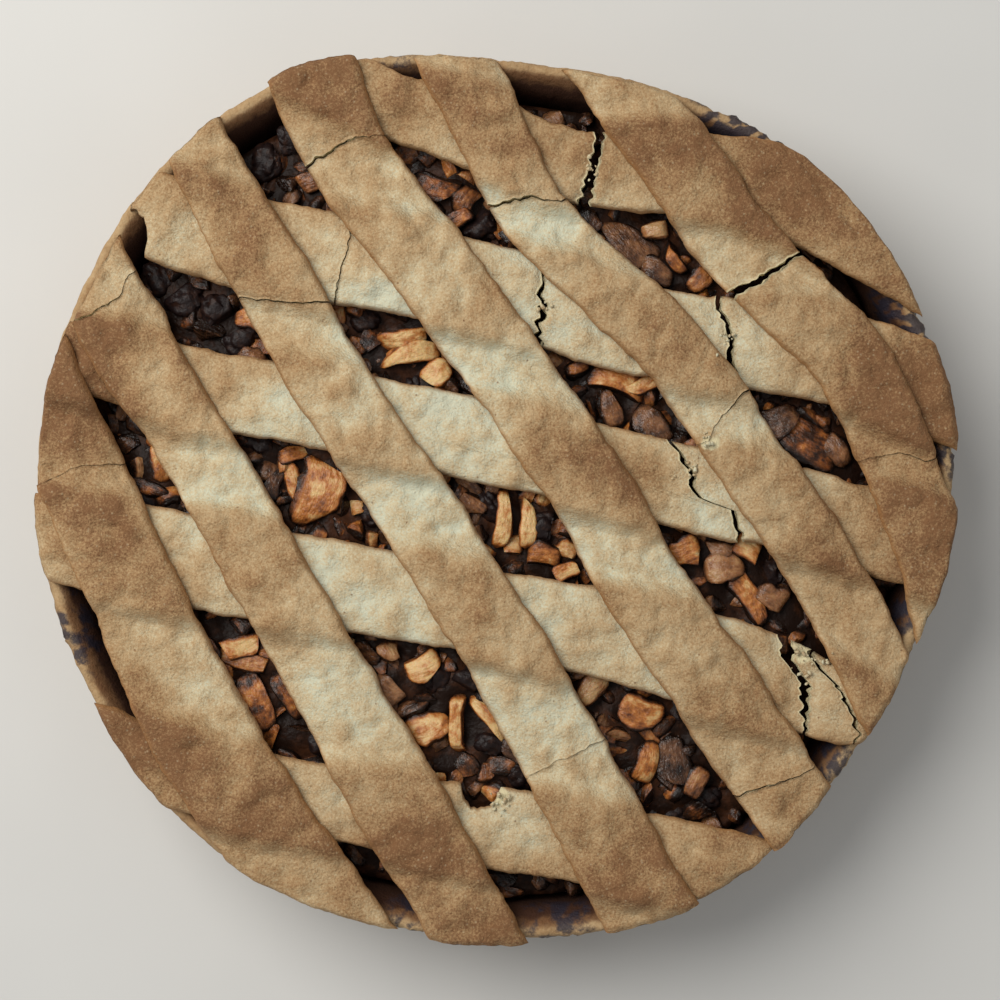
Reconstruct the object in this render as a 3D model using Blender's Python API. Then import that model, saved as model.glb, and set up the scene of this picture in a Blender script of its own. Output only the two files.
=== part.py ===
"""Apple pie with a lattice of dough strips, standing free.

A deep shortcrust shell holds a heap of chopped apple and raisins. Five strips of dough lie across it,
and six more lie over those, following their rise and fall. All strips are trimmed at the shell's rim.
The origin is on the underside below the pie's middle. +Z is up, and +Y is the pie's far side.
Sizes are in millimetres, and MM turns them into metres where a mesh is made.
"""

import math
import random

import bmesh
import bpy
import numpy as np
from mathutils import Vector, noise

MM = 0.001
GAP = 0.4  # clear space between neighbouring pieces
NOISE_TO_UNIT = 1.6  # brings the noise function's usual range to about -1 to 1
SHARP_ANGLE = math.radians(40)

# The shell
RIM_RADIUS = 128.4
RIM_WAVES = ((1, 1.5, 131), (2, 1.8, -28), (3, 1.9, 61), (4, 1.5, 126), (6, 1.0, -19))
RIM_HEIGHT = 48.0
RIM_UNEVEN = ((5, 0.5, 40), (11, 0.3, 10))
UNEVEN_FROM = 30.0  # the rim's unevenness fades out down to this height
FLOOR = 7.0
SEGMENTS = 60
SHELL_PROFILE = (
    (-3.0, 0.0),
    (-1.0, 1.2),
    (-0.4, 5.0),
    (-0.6, 26.0),
    (0.0, 42.0),
    (0.0, RIM_HEIGHT - 1.6),
    (-1.2, RIM_HEIGHT),
    (-3.2, RIM_HEIGHT - 0.4),
    (-5.6, RIM_HEIGHT - 4.0),
    (-7.5, RIM_HEIGHT - 8.0),
    (-9.0, 28.0),
    (-10.0, 13.0),
    (-15.0, FLOOR),
)

# The filling, whose top is a dome that drops beside the wall
DOME_HEIGHT = 47.0
DOME_FALL = 3.0
EDGE_DROP = 5.0
EDGE_DROP_SPAN = (0.72, 0.93)
CORE_BELOW = 4.0
CORE_UNEVEN = 1.2
CORE_UNEVEN_SIZE = 16.0
FILLING_RINGS = (0.9, 0.76, 0.58, 0.4, 0.2)
MOST_LUMPS = 68
LUMP_SPACING = 8.0
LUMP_BELOW_STRIPS = 0.5
LUMP_FROM_RIM = 9.5
LUMP_LENGTHS = (9.0, 15.0)
LUMP_WIDTHS = (5.0, 8.0)
LUMP_BEND = 0.12
LUMP_TILT = 0.2
LUMP_ROUGHNESS = 0.15
RAISIN_LENGTH = 0.8  # a raisin's length as a share of other lumps'

# The strips
LOWER_THICKNESS = 4.0
UPPER_THICKNESS = 4.2
RIM_PRESSED = 0.8  # share of a strip's thickness that is left where it is pressed on the rim
RIM_REST = 9.5  # width of the band on the rim that strips lie flat on
RIM_SLOPE = 26.0  # where a strip coming down from the rim reaches the filling
DRAPE_MARGIN = 5.2
DRAPE_FALL = 5.5
DRAPE_SPARE = 0.9
OVERHANG = 0.6
RING_STEP = 7.5
RELIEF = 0.3
RELIEF_SIZE = 21.0
EDGE_WOBBLE = 0.035
EDGE_WOBBLE_SIZE = 9.0
LINE_STEP = 2.0  # spacing of the points on a strip's middle line
SPARE_STEPS = 10  # straight spare length at each end of a strip's line, in steps of LINE_STEP
CRACK_DEPTH = 1.6
CRACK_HALF = 1.3
CRACK_FROM_END = 4.0
END_ROUND = 1.6
END_THICKNESS = (0.62, 0.95)  # share of the full thickness at a piece's end, and END_ROUND in from it
# One ring round a strip: across its width from -1 to 1, and up its thickness from 0 to 1
SECTION = (
    (-0.94, 0.0),
    (0.0, 0.0),
    (0.94, 0.0),
    (1.0, 0.45),
    (0.86, 0.94),
    (0.0, 1.05),
    (-0.86, 0.94),
    (-1.0, 0.45),
)
TOP_SHARE = 0.9  # points of the section above this share of its thickness are its top
# The faces that close such a ring, side by side across the strip
SECTION_CAP = ((0, 1, 5, 6), (1, 2, 4, 5), (2, 3, 4), (0, 6, 7))

# Each strip's middle line and width at a few places: X, Y, width
UPPER_STRIPS = {
    "upper_strip_1": (
        (-132, 40, 25), (-110, -9, 25), (-81, -70, 29), (-40, -129, 27),
    ),
    "upper_strip_2": (
        (-114, 66, 21), (-104, 45, 24), (-83, 12, 22), (-42, -61, 24),
        (-25, -90, 26), (-1, -131, 23),
    ),
    "upper_strip_3": (
        (-88, 107, 18), (-64, 63, 22), (-45, 30, 22), (-25, 0, 23),
        (2, -42, 24), (21, -76, 25), (48, -126, 27),
    ),
    "upper_strip_4": (
        (-55, 128, 26), (-40, 94, 24), (-19, 67, 24), (23, 8, 24),
        (41, -23, 24), (64, -57, 25), (94, -102, 24),
    ),
    "upper_strip_5": (
        (-15, 133, 22), (6, 89, 20), (17, 73, 20), (51, 41, 20),
        (73, 9, 21), (91, -17, 21), (118, -67, 22),
    ),
    "upper_strip_6": (
        (28, 128, 22), (52, 95, 23), (71, 69, 23), (102, 36, 22),
        (122, -10, 21), (128, -29, 22),
    ),
}
LOWER_STRIPS = {
    "lower_strip_1": (
        (-46, 119, 18), (-27, 110, 19), (-6, 104, 22), (22, 94, 21),
        (74, 89, 25), (111, 69, 22),
    ),
    "lower_strip_2": (
        (-113, 91, 18), (-91, 78, 25), (-54, 69, 26), (0, 59, 25),
        (28, 50, 25), (52, 45, 26), (99, 39, 26), (137, 25, 27),
    ),
    "lower_strip_3": (
        (-130, 42, 20), (-78, 30, 22), (-23, 20, 23), (66, 0, 24),
        (94, -6, 24), (133, -18, 24),
    ),
    "lower_strip_4": (
        (-138, -10, 24), (-89, -18, 27), (-12, -31, 24), (46, -43, 26),
        (80, -53, 26), (108, -63, 17),
    ),
    "lower_strip_5": (
        (-113, -70, 22), (-96, -76, 22), (-55, -86, 21), (3, -95, 24),
        (59, -104, 21), (77, -108, 20),
    ),
}
# Breaks that part a strip: its open width, then the line it follows
BREAKS = {
    "upper_strip_5": ((1.6, ((-1, 82), (5, 84), (10, 84), (19, 83))),),
    "upper_strip_6": ((2.4, ((66, 56), (75, 61), (79, 64), (86, 68))),),
    "lower_strip_1": ((3.0, ((30, 103), (28, 94), (26, 82))),),
    "lower_strip_2": ((2.0, ((63, 57), (67, 43), (69, 32))),),
    "lower_strip_3": ((1.5, ((50, 15), (55, 7), (59, -1), (68, -4), (69, -11))),),
    "lower_strip_4": ((3.5, ((86, -39), (83, -47), (89, -54), (86, -61))),),
}
# Cracks that only open a strip's top
CRACKS = {
    "upper_strip_1": (((-116, 9), (-106, 9)), ((-76, -98), (-61, -109))),
    "upper_strip_2": (((-103, 63), (-105, 57), (-114, 51)),),
    "upper_strip_3": (((-72, 56), (-54, 54), (-47, 55)), ((14, -77), (31, -69))),
    "upper_strip_4": (((-52, 94), (-42, 101), (-31, 102)), ((67, -85), (76, -83), (90, -77))),
    "upper_strip_6": (((106, 11), (114, 12), (122, 10)),),
    "lower_strip_2": (((-41, 73), (-44, 61), (-46, 55)), ((13, 70), (14, 46))),
}
# A ragged bite in one strip's far edge: middle, half length and depth
BITES = {"lower_strip_5": ((-4, -84), 5.5, 7.0)}

# Pieces of filling that stand out: kind, X, Y, heading in degrees, length and width
SHOWN_LUMPS = (
    ("raisin", -4, 77, 15, 11, 9),
    ("slice", -51.5, 1.5, 75, 22, 14),
    ("stick", 2, -6.5, 80, 17, 5.5),
    ("stick", 9, -6.5, 92, 17, 5),
    ("stick", -26, 45, 12, 16, 5.5),
    ("slice", -24, 39.5, 15, 18, 6),
    ("slice", -16.5, 34.5, 30, 10, 7),
    ("slice", 35, 31, -20, 18, 8),
    ("stick", 69, -27.5, -50, 25, 6.5),
    ("slice", 55, -15, 20, 11, 9),
    ("slice", 73, -15.5, -30, 10, 8),
    ("raisin", -7.5, -51.5, 40, 10, 9),
    ("slice", -18.5, -65.5, 25, 13, 10),
    ("stick", -9.5, -65.5, 90, 21, 4),
    ("slice", -1, -64, -50, 17, 7),
    ("slice", -20.5, -48, 20, 11, 9),
    ("raisin", 0, -72, -10, 12, 8),
    ("raisin", 8, -79.5, 60, 9, 8),
    ("slice", 42, -60.5, -15, 14, 10),
    ("slice", 43.5, -76, 75, 13, 9),
    ("slice", -68, -59, -70, 18, 10),
    ("slice", -95, 10, -70, 12, 7),
    ("slice", -73, -42, 10, 13, 6),
    ("slice", 90, 17, -30, 22, 13),
    ("raisin", -89, 57, 20, 12, 10),
    ("raisin", -80, 53, -40, 11, 9),
    ("raisin", -66, 96, 70, 12, 9),
)
# Each kind's thickness, sides and how far its ends taper
LUMP_KINDS = {"stick": (5.0, 4, 0.75), "slice": (4.0, 5, 0.6), "raisin": (7.0, 5, 0.5)}
LUMP_RINGS = ((-1.0, 0.0), (-0.45, 1.0), (0.45, 1.0), (1.0, 0.0))  # place along it, and share of full girth


def smooth_step(start, end, value):
    """0 before start and 1 after end, with an easy curve between."""
    share = np.clip((value - start) / (end - start), 0.0, 1.0)
    return share * share * (3.0 - 2.0 * share)


def waves(terms, angle):
    """The sum of a few waves round the pie: count, size and the angle of a crest in degrees."""
    return sum(size * np.cos(count * angle - math.radians(crest)) for count, size, crest in terms)


def rim_radius(angle):
    return RIM_RADIUS + waves(RIM_WAVES, angle)


def rim_height(angle):
    return RIM_HEIGHT + waves(RIM_UNEVEN, angle)


def relief(x, y, size, seed):
    """Smooth unevenness from about -1 to 1, one value for each place."""
    spots = zip(np.ravel(x), np.ravel(y))
    values = [noise.noise(Vector((px / size, py / size, seed))) for px, py in spots]
    return np.reshape(values, np.shape(x)) * NOISE_TO_UNIT


def dome(x, y):
    """The level that strips lie on, without the rim."""
    share = np.hypot(x, y) / rim_radius(np.arctan2(y, x))
    return DOME_HEIGHT - DOME_FALL * share**2


def heap_level(x, y):
    """The level of the filling's highest pieces."""
    share = np.hypot(x, y) / rim_radius(np.arctan2(y, x))
    return dome(x, y) - EDGE_DROP * smooth_step(*EDGE_DROP_SPAN, share)


def rim_nearness(x, y):
    """1 on the rim's own band, falling to 0 where a strip lies on the filling."""
    angle = np.arctan2(y, x)
    inward = rim_radius(angle) - np.hypot(x, y)
    return 1.0 - smooth_step(RIM_REST, RIM_SLOPE, inward)


def bed(x, y):
    """The level under a strip: the filling's dome, rising to the rim."""
    level = dome(x, y)
    on_rim = rim_height(np.arctan2(y, x)) + GAP
    return level + (on_rim - level) * rim_nearness(x, y) + GAP


def smooth_line(path):
    """The strip's middle line through its places, with straight spare length at both ends."""
    places = [Vector(place) for place in path]
    places = [2 * places[0] - places[1], *places, 2 * places[-1] - places[-2]]
    line = []
    for before, here, there, after in zip(places, places[1:], places[2:], places[3:]):
        count = max(4, round((there - here).length / LINE_STEP))
        for step in range(count):
            t = step / count
            pull = (there - before) * t
            pull += (2 * before - 5 * here + 4 * there - after) * t**2
            pull += (3 * here - before - 3 * there + after) * t**3
            line.append(here + pull / 2)
    line.append(places[-2])
    first = (line[0] - line[1]).normalized() * LINE_STEP
    last = (line[-1] - line[-2]).normalized() * LINE_STEP
    first.z = last.z = 0.0
    before = [line[0] + first * step for step in range(SPARE_STEPS, 0, -1)]
    after = [line[-1] + last * step for step in range(1, SPARE_STEPS + 1)]
    return np.array(before + line + after)


class Strip:
    """A strip of dough as a middle line with a width, read by distance along it and place across it."""

    def __init__(self, name, path):
        self.name = name
        line = smooth_line(path)
        self.x, self.y, width = line.T
        self.half = width / 2
        runs = np.hypot(np.diff(self.x), np.diff(self.y))
        self.along = np.concatenate(([0.0], np.cumsum(runs)))
        slope_x = np.gradient(self.x, self.along)
        slope_y = np.gradient(self.y, self.along)
        length = np.hypot(slope_x, slope_y)
        self.normal_x = -slope_y / length
        self.normal_y = slope_x / length

    def place(self, along, across):
        """X and Y at a distance along the strip, with across from -1 to 1."""
        half = np.interp(along, self.along, self.half)
        apart = np.sign(across) * 5 * EDGE_WOBBLE_SIZE  # so that a strip's two edges differ
        half = half * (1.0 + EDGE_WOBBLE * relief(along, apart, EDGE_WOBBLE_SIZE, self.x[0]))
        offset = across * half
        x = np.interp(along, self.along, self.x) + offset * np.interp(along, self.along, self.normal_x)
        y = np.interp(along, self.along, self.y) + offset * np.interp(along, self.along, self.normal_y)
        return x, y

    def nearest(self, x, y):
        """Distance along the strip and place across it of one point."""
        index = int(np.argmin(np.hypot(self.x - x, self.y - y)))
        offset = (x - self.x[index]) * self.normal_x[index] + (y - self.y[index]) * self.normal_y[index]
        ahead = (x - self.x[index]) * self.normal_y[index] - (y - self.y[index]) * self.normal_x[index]
        return self.along[index] + ahead, offset / self.half[index]

    def edge_distance(self, x, y):
        """How far points lie outside the strip's long edges, negative inside."""
        x, y = np.broadcast_arrays(x, y)
        away = np.hypot(np.ravel(x)[:, None] - self.x, np.ravel(y)[:, None] - self.y)
        return np.reshape((away - self.half).min(axis=1), x.shape)

    def trimmed(self, across):
        """Where the rim cuts the strip off, for each place across it: the first and last distance along."""
        starts, ends = [], []
        for place in across:
            x, y = self.place(self.along, np.full_like(self.along, place))
            spare = np.hypot(x, y) - rim_radius(np.arctan2(y, x)) - OVERHANG
            inside = np.flatnonzero(spare < 0)
            first, last = inside[0], inside[-1]
            start, end = slice(first - 1, first + 1), slice(last, last + 2)
            starts.append(np.interp(0.0, -spare[start], self.along[start]))
            ends.append(np.interp(0.0, spare[end], self.along[end]))
        return np.array(starts), np.array(ends)

    def line_across(self, points, across):
        """Distances along the strip of a line drawn across it, for each place across."""
        found = sorted((self.nearest(*point) for point in points), key=lambda pair: pair[1])
        return np.interp(across, [pair[1] for pair in found], [pair[0] for pair in found])


def lower_cover(x, y):
    """1 over the lower strips and a little beyond their edges, falling to 0."""
    cover = np.zeros(np.shape(x))
    for strip in LOWER:
        away = strip.edge_distance(x, y)
        cover = np.maximum(cover, 1.0 - smooth_step(DRAPE_MARGIN, DRAPE_MARGIN + DRAPE_FALL, away))
    return cover


def pressed(x, y):
    """Share of a strip's thickness, less on the rim."""
    return 1.0 - (1.0 - RIM_PRESSED) * rim_nearness(x, y)


def underside(x, y, is_upper):
    level = bed(x, y)
    if is_upper:
        level = level + lower_cover(x, y) * (LOWER_THICKNESS * pressed(x, y) + DRAPE_SPARE)
    return level


def strip_stations(borders, cracks):
    """Rings along one piece between its borders: distances along, share of the thickness and crack depth."""
    start, end = borders
    thin, plump = END_THICKNESS
    stations = [(start, thin, 0.0), (start + END_ROUND, plump, 0.0)]
    rows = [start, *cracks, end]
    for index, (here, there) in enumerate(zip(rows, rows[1:])):
        count = max(2, round(float(np.mean(there - here)) / RING_STEP))
        for step in range(1, count):
            stations.append((here + (there - here) * step / count, 1.0, 0.0))
        if index < len(cracks):
            stations.append((there - CRACK_HALF, 1.0, 0.0))
            stations.append((there, 1.0, CRACK_DEPTH))
            stations.append((there + CRACK_HALF, 1.0, 0.0))
    stations.append((end - END_ROUND, plump, 0.0))
    stations.append((end, thin, 0.0))
    return stations


def bitten(strip, along, across):
    """Pulls a strip's far edge in where a bite is missing from it."""
    if strip.name not in BITES:
        return across
    middle, half_length, depth = BITES[strip.name]
    centre, _ = strip.nearest(*middle)
    half_width = float(np.interp(centre, strip.along, strip.half))
    bite = depth / half_width * np.clip(1.0 - np.abs(along - centre) / half_length, 0.0, 1.0)
    return np.minimum(across, 1.0 - bite)


def strip_rings(strip, borders, cracks, thickness, is_upper):
    across = np.array([place for place, _ in SECTION])
    upward = np.array([share for _, share in SECTION])
    rings = []
    for along, plump, depth in strip_stations(borders, cracks):
        x, y = strip.place(along, bitten(strip, along, across))
        low = underside(x, y, is_upper)
        body = thickness * pressed(x, y) * plump + RELIEF * relief(x, y, RELIEF_SIZE, 3.0)
        z = low + body * upward - depth * (upward > TOP_SHARE)
        rings.append(np.column_stack((x, y, z)))
    return rings


def loft(rings, cap=None):
    """Points and faces of a closed skin over rings of equal count. Each end is one face, or those of cap."""
    count = len(rings[0])
    points = np.concatenate(rings)
    faces = []
    for ring in range(len(rings) - 1):
        low, high = ring * count, (ring + 1) * count
        for here in range(count):
            there = (here + 1) % count
            faces.append((low + here, low + there, high + there, high + here))
    last = len(points) - count
    for corners in cap or (tuple(range(count)),):
        faces.append(tuple(reversed(corners)))
        faces.append(tuple(last + corner for corner in corners))
    return points, faces


def mesh_object(name, points, faces, material, collection=None):
    mesh = bpy.data.meshes.new(name)
    mesh.from_pydata(np.asarray(points) * MM, [], faces)
    mesh.validate()
    mesh.shade_smooth()
    mesh.set_sharp_from_angle(angle=SHARP_ANGLE)
    mesh.materials.append(material)
    obj = bpy.data.objects.new(name, mesh)
    (collection or bpy.context.scene.collection).objects.link(obj)
    return obj


def material(name, colour, roughness):
    made = bpy.data.materials.new(name)
    made.use_nodes = True
    shader = made.node_tree.nodes["Principled BSDF"]
    shader.inputs["Base Color"].default_value = (*colour, 1.0)
    shader.inputs["Roughness"].default_value = roughness
    shader.inputs["Metallic"].default_value = 0.0
    return made


def pale_dough(name):
    return material(name, (0.48, 0.36, 0.20), 0.85)


def browned_dough(name):
    return material(name, (0.38, 0.23, 0.11), 0.85)


def baked_shell():
    return material("baked_shell", (0.27, 0.13, 0.055), 0.8)


def cooked_apple():
    return material("cooked_apple", (0.19, 0.075, 0.025), 0.4)


def build_shell():
    angles = np.arange(SEGMENTS) * 2 * math.pi / SEGMENTS
    rings = []
    for offset, height in SHELL_PROFILE:
        radius = rim_radius(angles) + offset
        uneven = waves(RIM_UNEVEN, angles) * smooth_step(UNEVEN_FROM, RIM_HEIGHT, height)
        rings.append(np.column_stack((radius * np.cos(angles), radius * np.sin(angles), height + uneven)))
    points, faces = loft(rings)
    bottom, floor = len(points), len(points) + 1
    points = np.vstack((points, (0.0, 0.0, 0.0), (0.0, 0.0, FLOOR)))
    faces = faces[:-2]
    last_ring = (len(rings) - 1) * SEGMENTS
    for here in range(SEGMENTS):
        there = (here + 1) % SEGMENTS
        faces.append((there, here, bottom))
        faces.append((last_ring + here, last_ring + there, floor))
    return mesh_object("crust_shell", points, faces, baked_shell())


def filling_core():
    """The filling's body, with a rumpled top a little below its highest pieces."""
    angles = np.arange(SEGMENTS) * 2 * math.pi / SEGMENTS
    wall = [(offset - 2 * GAP, height + GAP) for offset, height in reversed(SHELL_PROFILE[-3:])]
    rings = []
    for offset, height in wall:
        radius = rim_radius(angles) + offset
        level = np.full(SEGMENTS, height)
        rings.append(np.column_stack((radius * np.cos(angles), radius * np.sin(angles), level)))
    for share in FILLING_RINGS:
        radius = rim_radius(angles) * share
        x, y = radius * np.cos(angles), radius * np.sin(angles)
        level = heap_level(x, y) - CORE_BELOW + CORE_UNEVEN * relief(x, y, CORE_UNEVEN_SIZE, 7.0)
        rings.append(np.column_stack((x, y, level)))
    return loft(rings)


def lump(kind, length, width, rng):
    """One piece of filling round its own middle, with few sides, a slight bend and rounded ends."""
    thickness, sides, taper = LUMP_KINDS[kind]
    bend = rng.uniform(-LUMP_BEND, LUMP_BEND) * length
    turn = rng.uniform(0.0, math.pi / sides)
    rings = []
    for place, girth in LUMP_RINGS:
        size = taper + (1.0 - taper) * girth
        ring = []
        for side in range(sides):
            angle = 2 * math.pi * (side + 0.5) / sides + turn
            across = math.cos(angle) * width / 2 * size * rng.uniform(1 - LUMP_ROUGHNESS, 1 + LUMP_ROUGHNESS)
            up = math.sin(angle) * thickness / 2 * size
            ring.append((place * length / 2, across + bend * (1 - place**2), up))
        rings.append(ring)
    return loft([np.array(ring) for ring in rings])


def laid_lump(kind, x, y, heading, length, width, rng):
    """A piece of filling laid below the strips and clear of the wall, or None where it doesn't fit."""
    points, faces = lump(kind, length, width, rng)
    tilt = rng.uniform(-LUMP_TILT, LUMP_TILT)
    turned_x = points[:, 0] * math.cos(tilt) - points[:, 2] * math.sin(tilt)
    up = points[:, 0] * math.sin(tilt) + points[:, 2] * math.cos(tilt)
    cos, sin = math.cos(math.radians(heading)), math.sin(math.radians(heading))
    place_x = x + turned_x * cos - points[:, 1] * sin
    place_y = y + turned_x * sin + points[:, 1] * cos
    inward = rim_radius(np.arctan2(place_y, place_x)) - np.hypot(place_x, place_y)
    if inward.min() < LUMP_FROM_RIM:
        return None
    lift = (heap_level(place_x, place_y) - LUMP_BELOW_STRIPS - up).min()
    return np.column_stack((place_x, place_y, up + lift)), faces


def window_distance(x, y):
    """How far a place is from every strip's edge, negative under a strip."""
    return min(float(strip.edge_distance(x, y)) for strip in (*LOWER, *UPPER))


def scattered_lumps(rng, taken):
    """More pieces of filling in the windows between the strips, none too near another."""
    placed = []
    while len(placed) + len(SHOWN_LUMPS) < MOST_LUMPS:
        angle = rng.uniform(0.0, 2 * math.pi)
        radius = (RIM_RADIUS - LUMP_FROM_RIM) * math.sqrt(rng.random())
        x, y = radius * math.cos(angle), radius * math.sin(angle)
        if window_distance(x, y) < 0:
            continue
        if min(math.hypot(x - other_x, y - other_y) for other_x, other_y in taken) < LUMP_SPACING:
            continue
        kind = rng.choice(("stick", "slice", "slice", "raisin"))
        length = rng.uniform(*LUMP_LENGTHS) * (RAISIN_LENGTH if kind == "raisin" else 1.0)
        width = rng.uniform(*LUMP_WIDTHS)
        found = laid_lump(kind, x, y, rng.uniform(0.0, 180.0), length, width, rng)
        if found:
            placed.append(found)
            taken.append((x, y))
    return placed


def join_all(body, others):
    """One Boolean union of a body with a collection of pieces, applied, with the pieces then removed."""
    union = body.modifiers.new("fuse_pieces", "BOOLEAN")
    union.operation = "UNION"
    union.operand_type = "COLLECTION"
    union.collection = others
    union.solver = "MANIFOLD"
    graph = bpy.context.evaluated_depsgraph_get()
    fused = bpy.data.meshes.new_from_object(body.evaluated_get(graph))
    body.modifiers.clear()
    body.data = fused
    for piece in list(others.objects):
        bpy.data.objects.remove(piece)
    bpy.data.collections.remove(others)


def keep_outer_skin(mesh):
    """Keeps the largest skin of faces, without loose scraps and sealed hollows, which may touch it at an edge."""
    body = bmesh.new()
    body.from_mesh(mesh)
    bmesh.ops.triangulate(body, faces=body.faces[:])
    left = set(body.faces)
    largest = []
    while left:
        skin = [left.pop()]
        for face in skin:
            plain_edges = [edge for edge in face.edges if len(edge.link_faces) == 2]
            neighbours = {other for edge in plain_edges for other in edge.link_faces}
            skin += neighbours & left
            left -= neighbours
        largest = max(largest, skin, key=len)
    kept = set(largest)
    scraps = [face for face in body.faces if face not in kept]
    bmesh.ops.delete(body, geom=scraps, context="FACES")
    body.to_mesh(mesh)
    body.free()


def build_filling():
    rng = random.Random(11)
    apple = cooked_apple()
    filling = mesh_object("filling", *filling_core(), apple)
    lumps = bpy.data.collections.new("lumps")
    bpy.context.scene.collection.children.link(lumps)
    found = [laid_lump(*shown, rng) for shown in SHOWN_LUMPS]
    taken = [(shown[1], shown[2]) for shown in SHOWN_LUMPS]
    found += scattered_lumps(rng, taken)
    for points, faces in filter(None, found):
        mesh_object("lump", points, faces, apple, lumps)
    join_all(filling, lumps)
    keep_outer_skin(filling.data)


def is_inside(crack, piece):
    start, end = piece
    return (crack > start + CRACK_FROM_END).all() and (crack < end - CRACK_FROM_END).all()


def build_strip(strip, thickness, is_upper, finish):
    """One strip, as one piece or parted at its breaks."""
    across = np.array([place for place, _ in SECTION])
    start, end = strip.trimmed(across)
    borders = [start]
    for width, points in BREAKS.get(strip.name, ()):
        line = strip.line_across(points, across)
        borders += [line - width / 2, line + width / 2]
    borders.append(end)
    cracks = [strip.line_across(points, across) for points in CRACKS.get(strip.name, ())]
    pieces = list(zip(borders[0::2], borders[1::2]))
    for index, piece in enumerate(pieces):
        inside = [crack for crack in cracks if is_inside(crack, piece)]
        name = strip.name + ("_" + "abc"[index] if len(pieces) > 1 else "")
        points, faces = loft(strip_rings(strip, piece, inside, thickness, is_upper), SECTION_CAP)
        mesh_object(name, points, faces, finish(name + "_dough"))


def clear_scene():
    for obj in list(bpy.data.objects):
        bpy.data.objects.remove(obj)


LOWER = [Strip(name, path) for name, path in LOWER_STRIPS.items()]
UPPER = [Strip(name, path) for name, path in UPPER_STRIPS.items()]


def main():
    clear_scene()
    build_shell()
    build_filling()
    for strip in LOWER:
        build_strip(strip, LOWER_THICKNESS, False, pale_dough)
    for strip in UPPER:
        build_strip(strip, UPPER_THICKNESS, True, browned_dough)


if __name__ == "__main__":
    main()
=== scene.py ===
"""Apple pie with a lattice of dough strips: the baked surfaces, the filling and the stage.

The pie's solids are the frame. Each is replaced here by a finely shaped piece that keeps its form: the
crust shell, the heap of apple and raisins, five lower strips and six upper strips draped over them.
Sizes are in millimetres unless they are add-on properties, and MM turns them into metres.
"""

import itertools
import math
import random
from collections import namedtuple

import bpy
import numpy as np
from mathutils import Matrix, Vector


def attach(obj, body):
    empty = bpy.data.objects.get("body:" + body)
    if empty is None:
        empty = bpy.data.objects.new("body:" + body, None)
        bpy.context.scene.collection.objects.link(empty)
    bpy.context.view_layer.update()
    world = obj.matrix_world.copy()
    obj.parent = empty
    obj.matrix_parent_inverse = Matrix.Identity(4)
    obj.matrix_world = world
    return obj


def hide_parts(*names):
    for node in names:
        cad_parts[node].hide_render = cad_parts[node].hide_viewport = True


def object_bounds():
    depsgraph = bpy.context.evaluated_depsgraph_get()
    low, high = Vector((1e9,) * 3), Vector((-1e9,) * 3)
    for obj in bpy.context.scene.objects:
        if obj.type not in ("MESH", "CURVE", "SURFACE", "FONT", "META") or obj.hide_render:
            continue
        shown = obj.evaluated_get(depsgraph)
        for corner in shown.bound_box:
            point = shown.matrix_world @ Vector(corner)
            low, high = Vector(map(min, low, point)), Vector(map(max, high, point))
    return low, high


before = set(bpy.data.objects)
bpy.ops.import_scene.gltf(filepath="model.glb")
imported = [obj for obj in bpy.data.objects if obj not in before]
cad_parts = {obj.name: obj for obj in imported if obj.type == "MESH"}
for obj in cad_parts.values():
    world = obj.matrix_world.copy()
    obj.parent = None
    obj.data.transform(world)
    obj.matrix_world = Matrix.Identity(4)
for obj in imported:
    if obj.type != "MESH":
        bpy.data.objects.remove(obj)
cad_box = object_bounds()

bl_info = {
    "name": "Lattice apple pie",
    "version": (1, 0, 0),
    "blender": (4, 5, 0),
    "location": "View3D > Sidebar > Pie",
    "description": "Builds a baked apple pie with a draped lattice, its filling and a plain stage",
    "category": "Add Mesh",
}

MM = 0.001

# The shell, as in the solids
RIM_RADIUS = 128.4
RIM_WAVES = ((1, 1.5, 131), (2, 1.8, -28), (3, 1.9, 61), (4, 1.5, 126), (6, 1.0, -19))
RIM_HEIGHT = 48.0
RIM_UNEVEN = ((5, 0.5, 40), (11, 0.3, 10))
FLOOR = 7.0
SHELL_PROFILE = (
    (-40.0, 0.0),
    (-10.0, 0.0),
    (-3.0, 0.0),
    (-1.0, 1.2),
    (-0.4, 5.0),
    (-0.6, 26.0),
    (-0.2, 40.0),
    (0.0, RIM_HEIGHT - 1.6),
    (-1.2, RIM_HEIGHT),
    (-3.2, RIM_HEIGHT - 0.4),
    (-5.6, RIM_HEIGHT - 4.0),
    (-7.5, RIM_HEIGHT - 8.0),
    (-9.0, 28.0),
    (-10.0, 13.0),
    (-15.0, FLOOR),
    (-40.0, FLOOR),
)
SHELL_ROW_SHARE = 1.8  # the spacing of its rows, as a share of the spacing of its columns
PROFILE_TIGHTNESS = 0.35
PIT_DEPTH = 0.5
RIM_SINK = 0.5
RIM_SPREAD = 0.004
SHELL_BROWN = 0.70
RIM_CRISPNESS = 0.06
MIDDLE_MARK = 0.6
JUICE_REACH = 2.5  # how far in from the outer edge dried juice stands up
JUICE_DEPTH = (22.0, 3.0)  # how far below the rim it has ended, and how far it is at its full strength

# The filling's dome, as in the solids, with its edge a little fuller
DOME_HEIGHT = 47.0
DOME_FALL = 3.0
EDGE_DROP = 3.5
EDGE_DROP_SPAN = (0.72, 0.93)
CORE_BELOW = 4.4
CORE_SIDE = ((16.0, FLOOR + 0.6), (11.0, 14.0), (10.2, 27.0))  # how far in from the rim, and how high
LUMP_FROM_RIM = 8.6
TOP_CLEARANCE = 0.5

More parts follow.
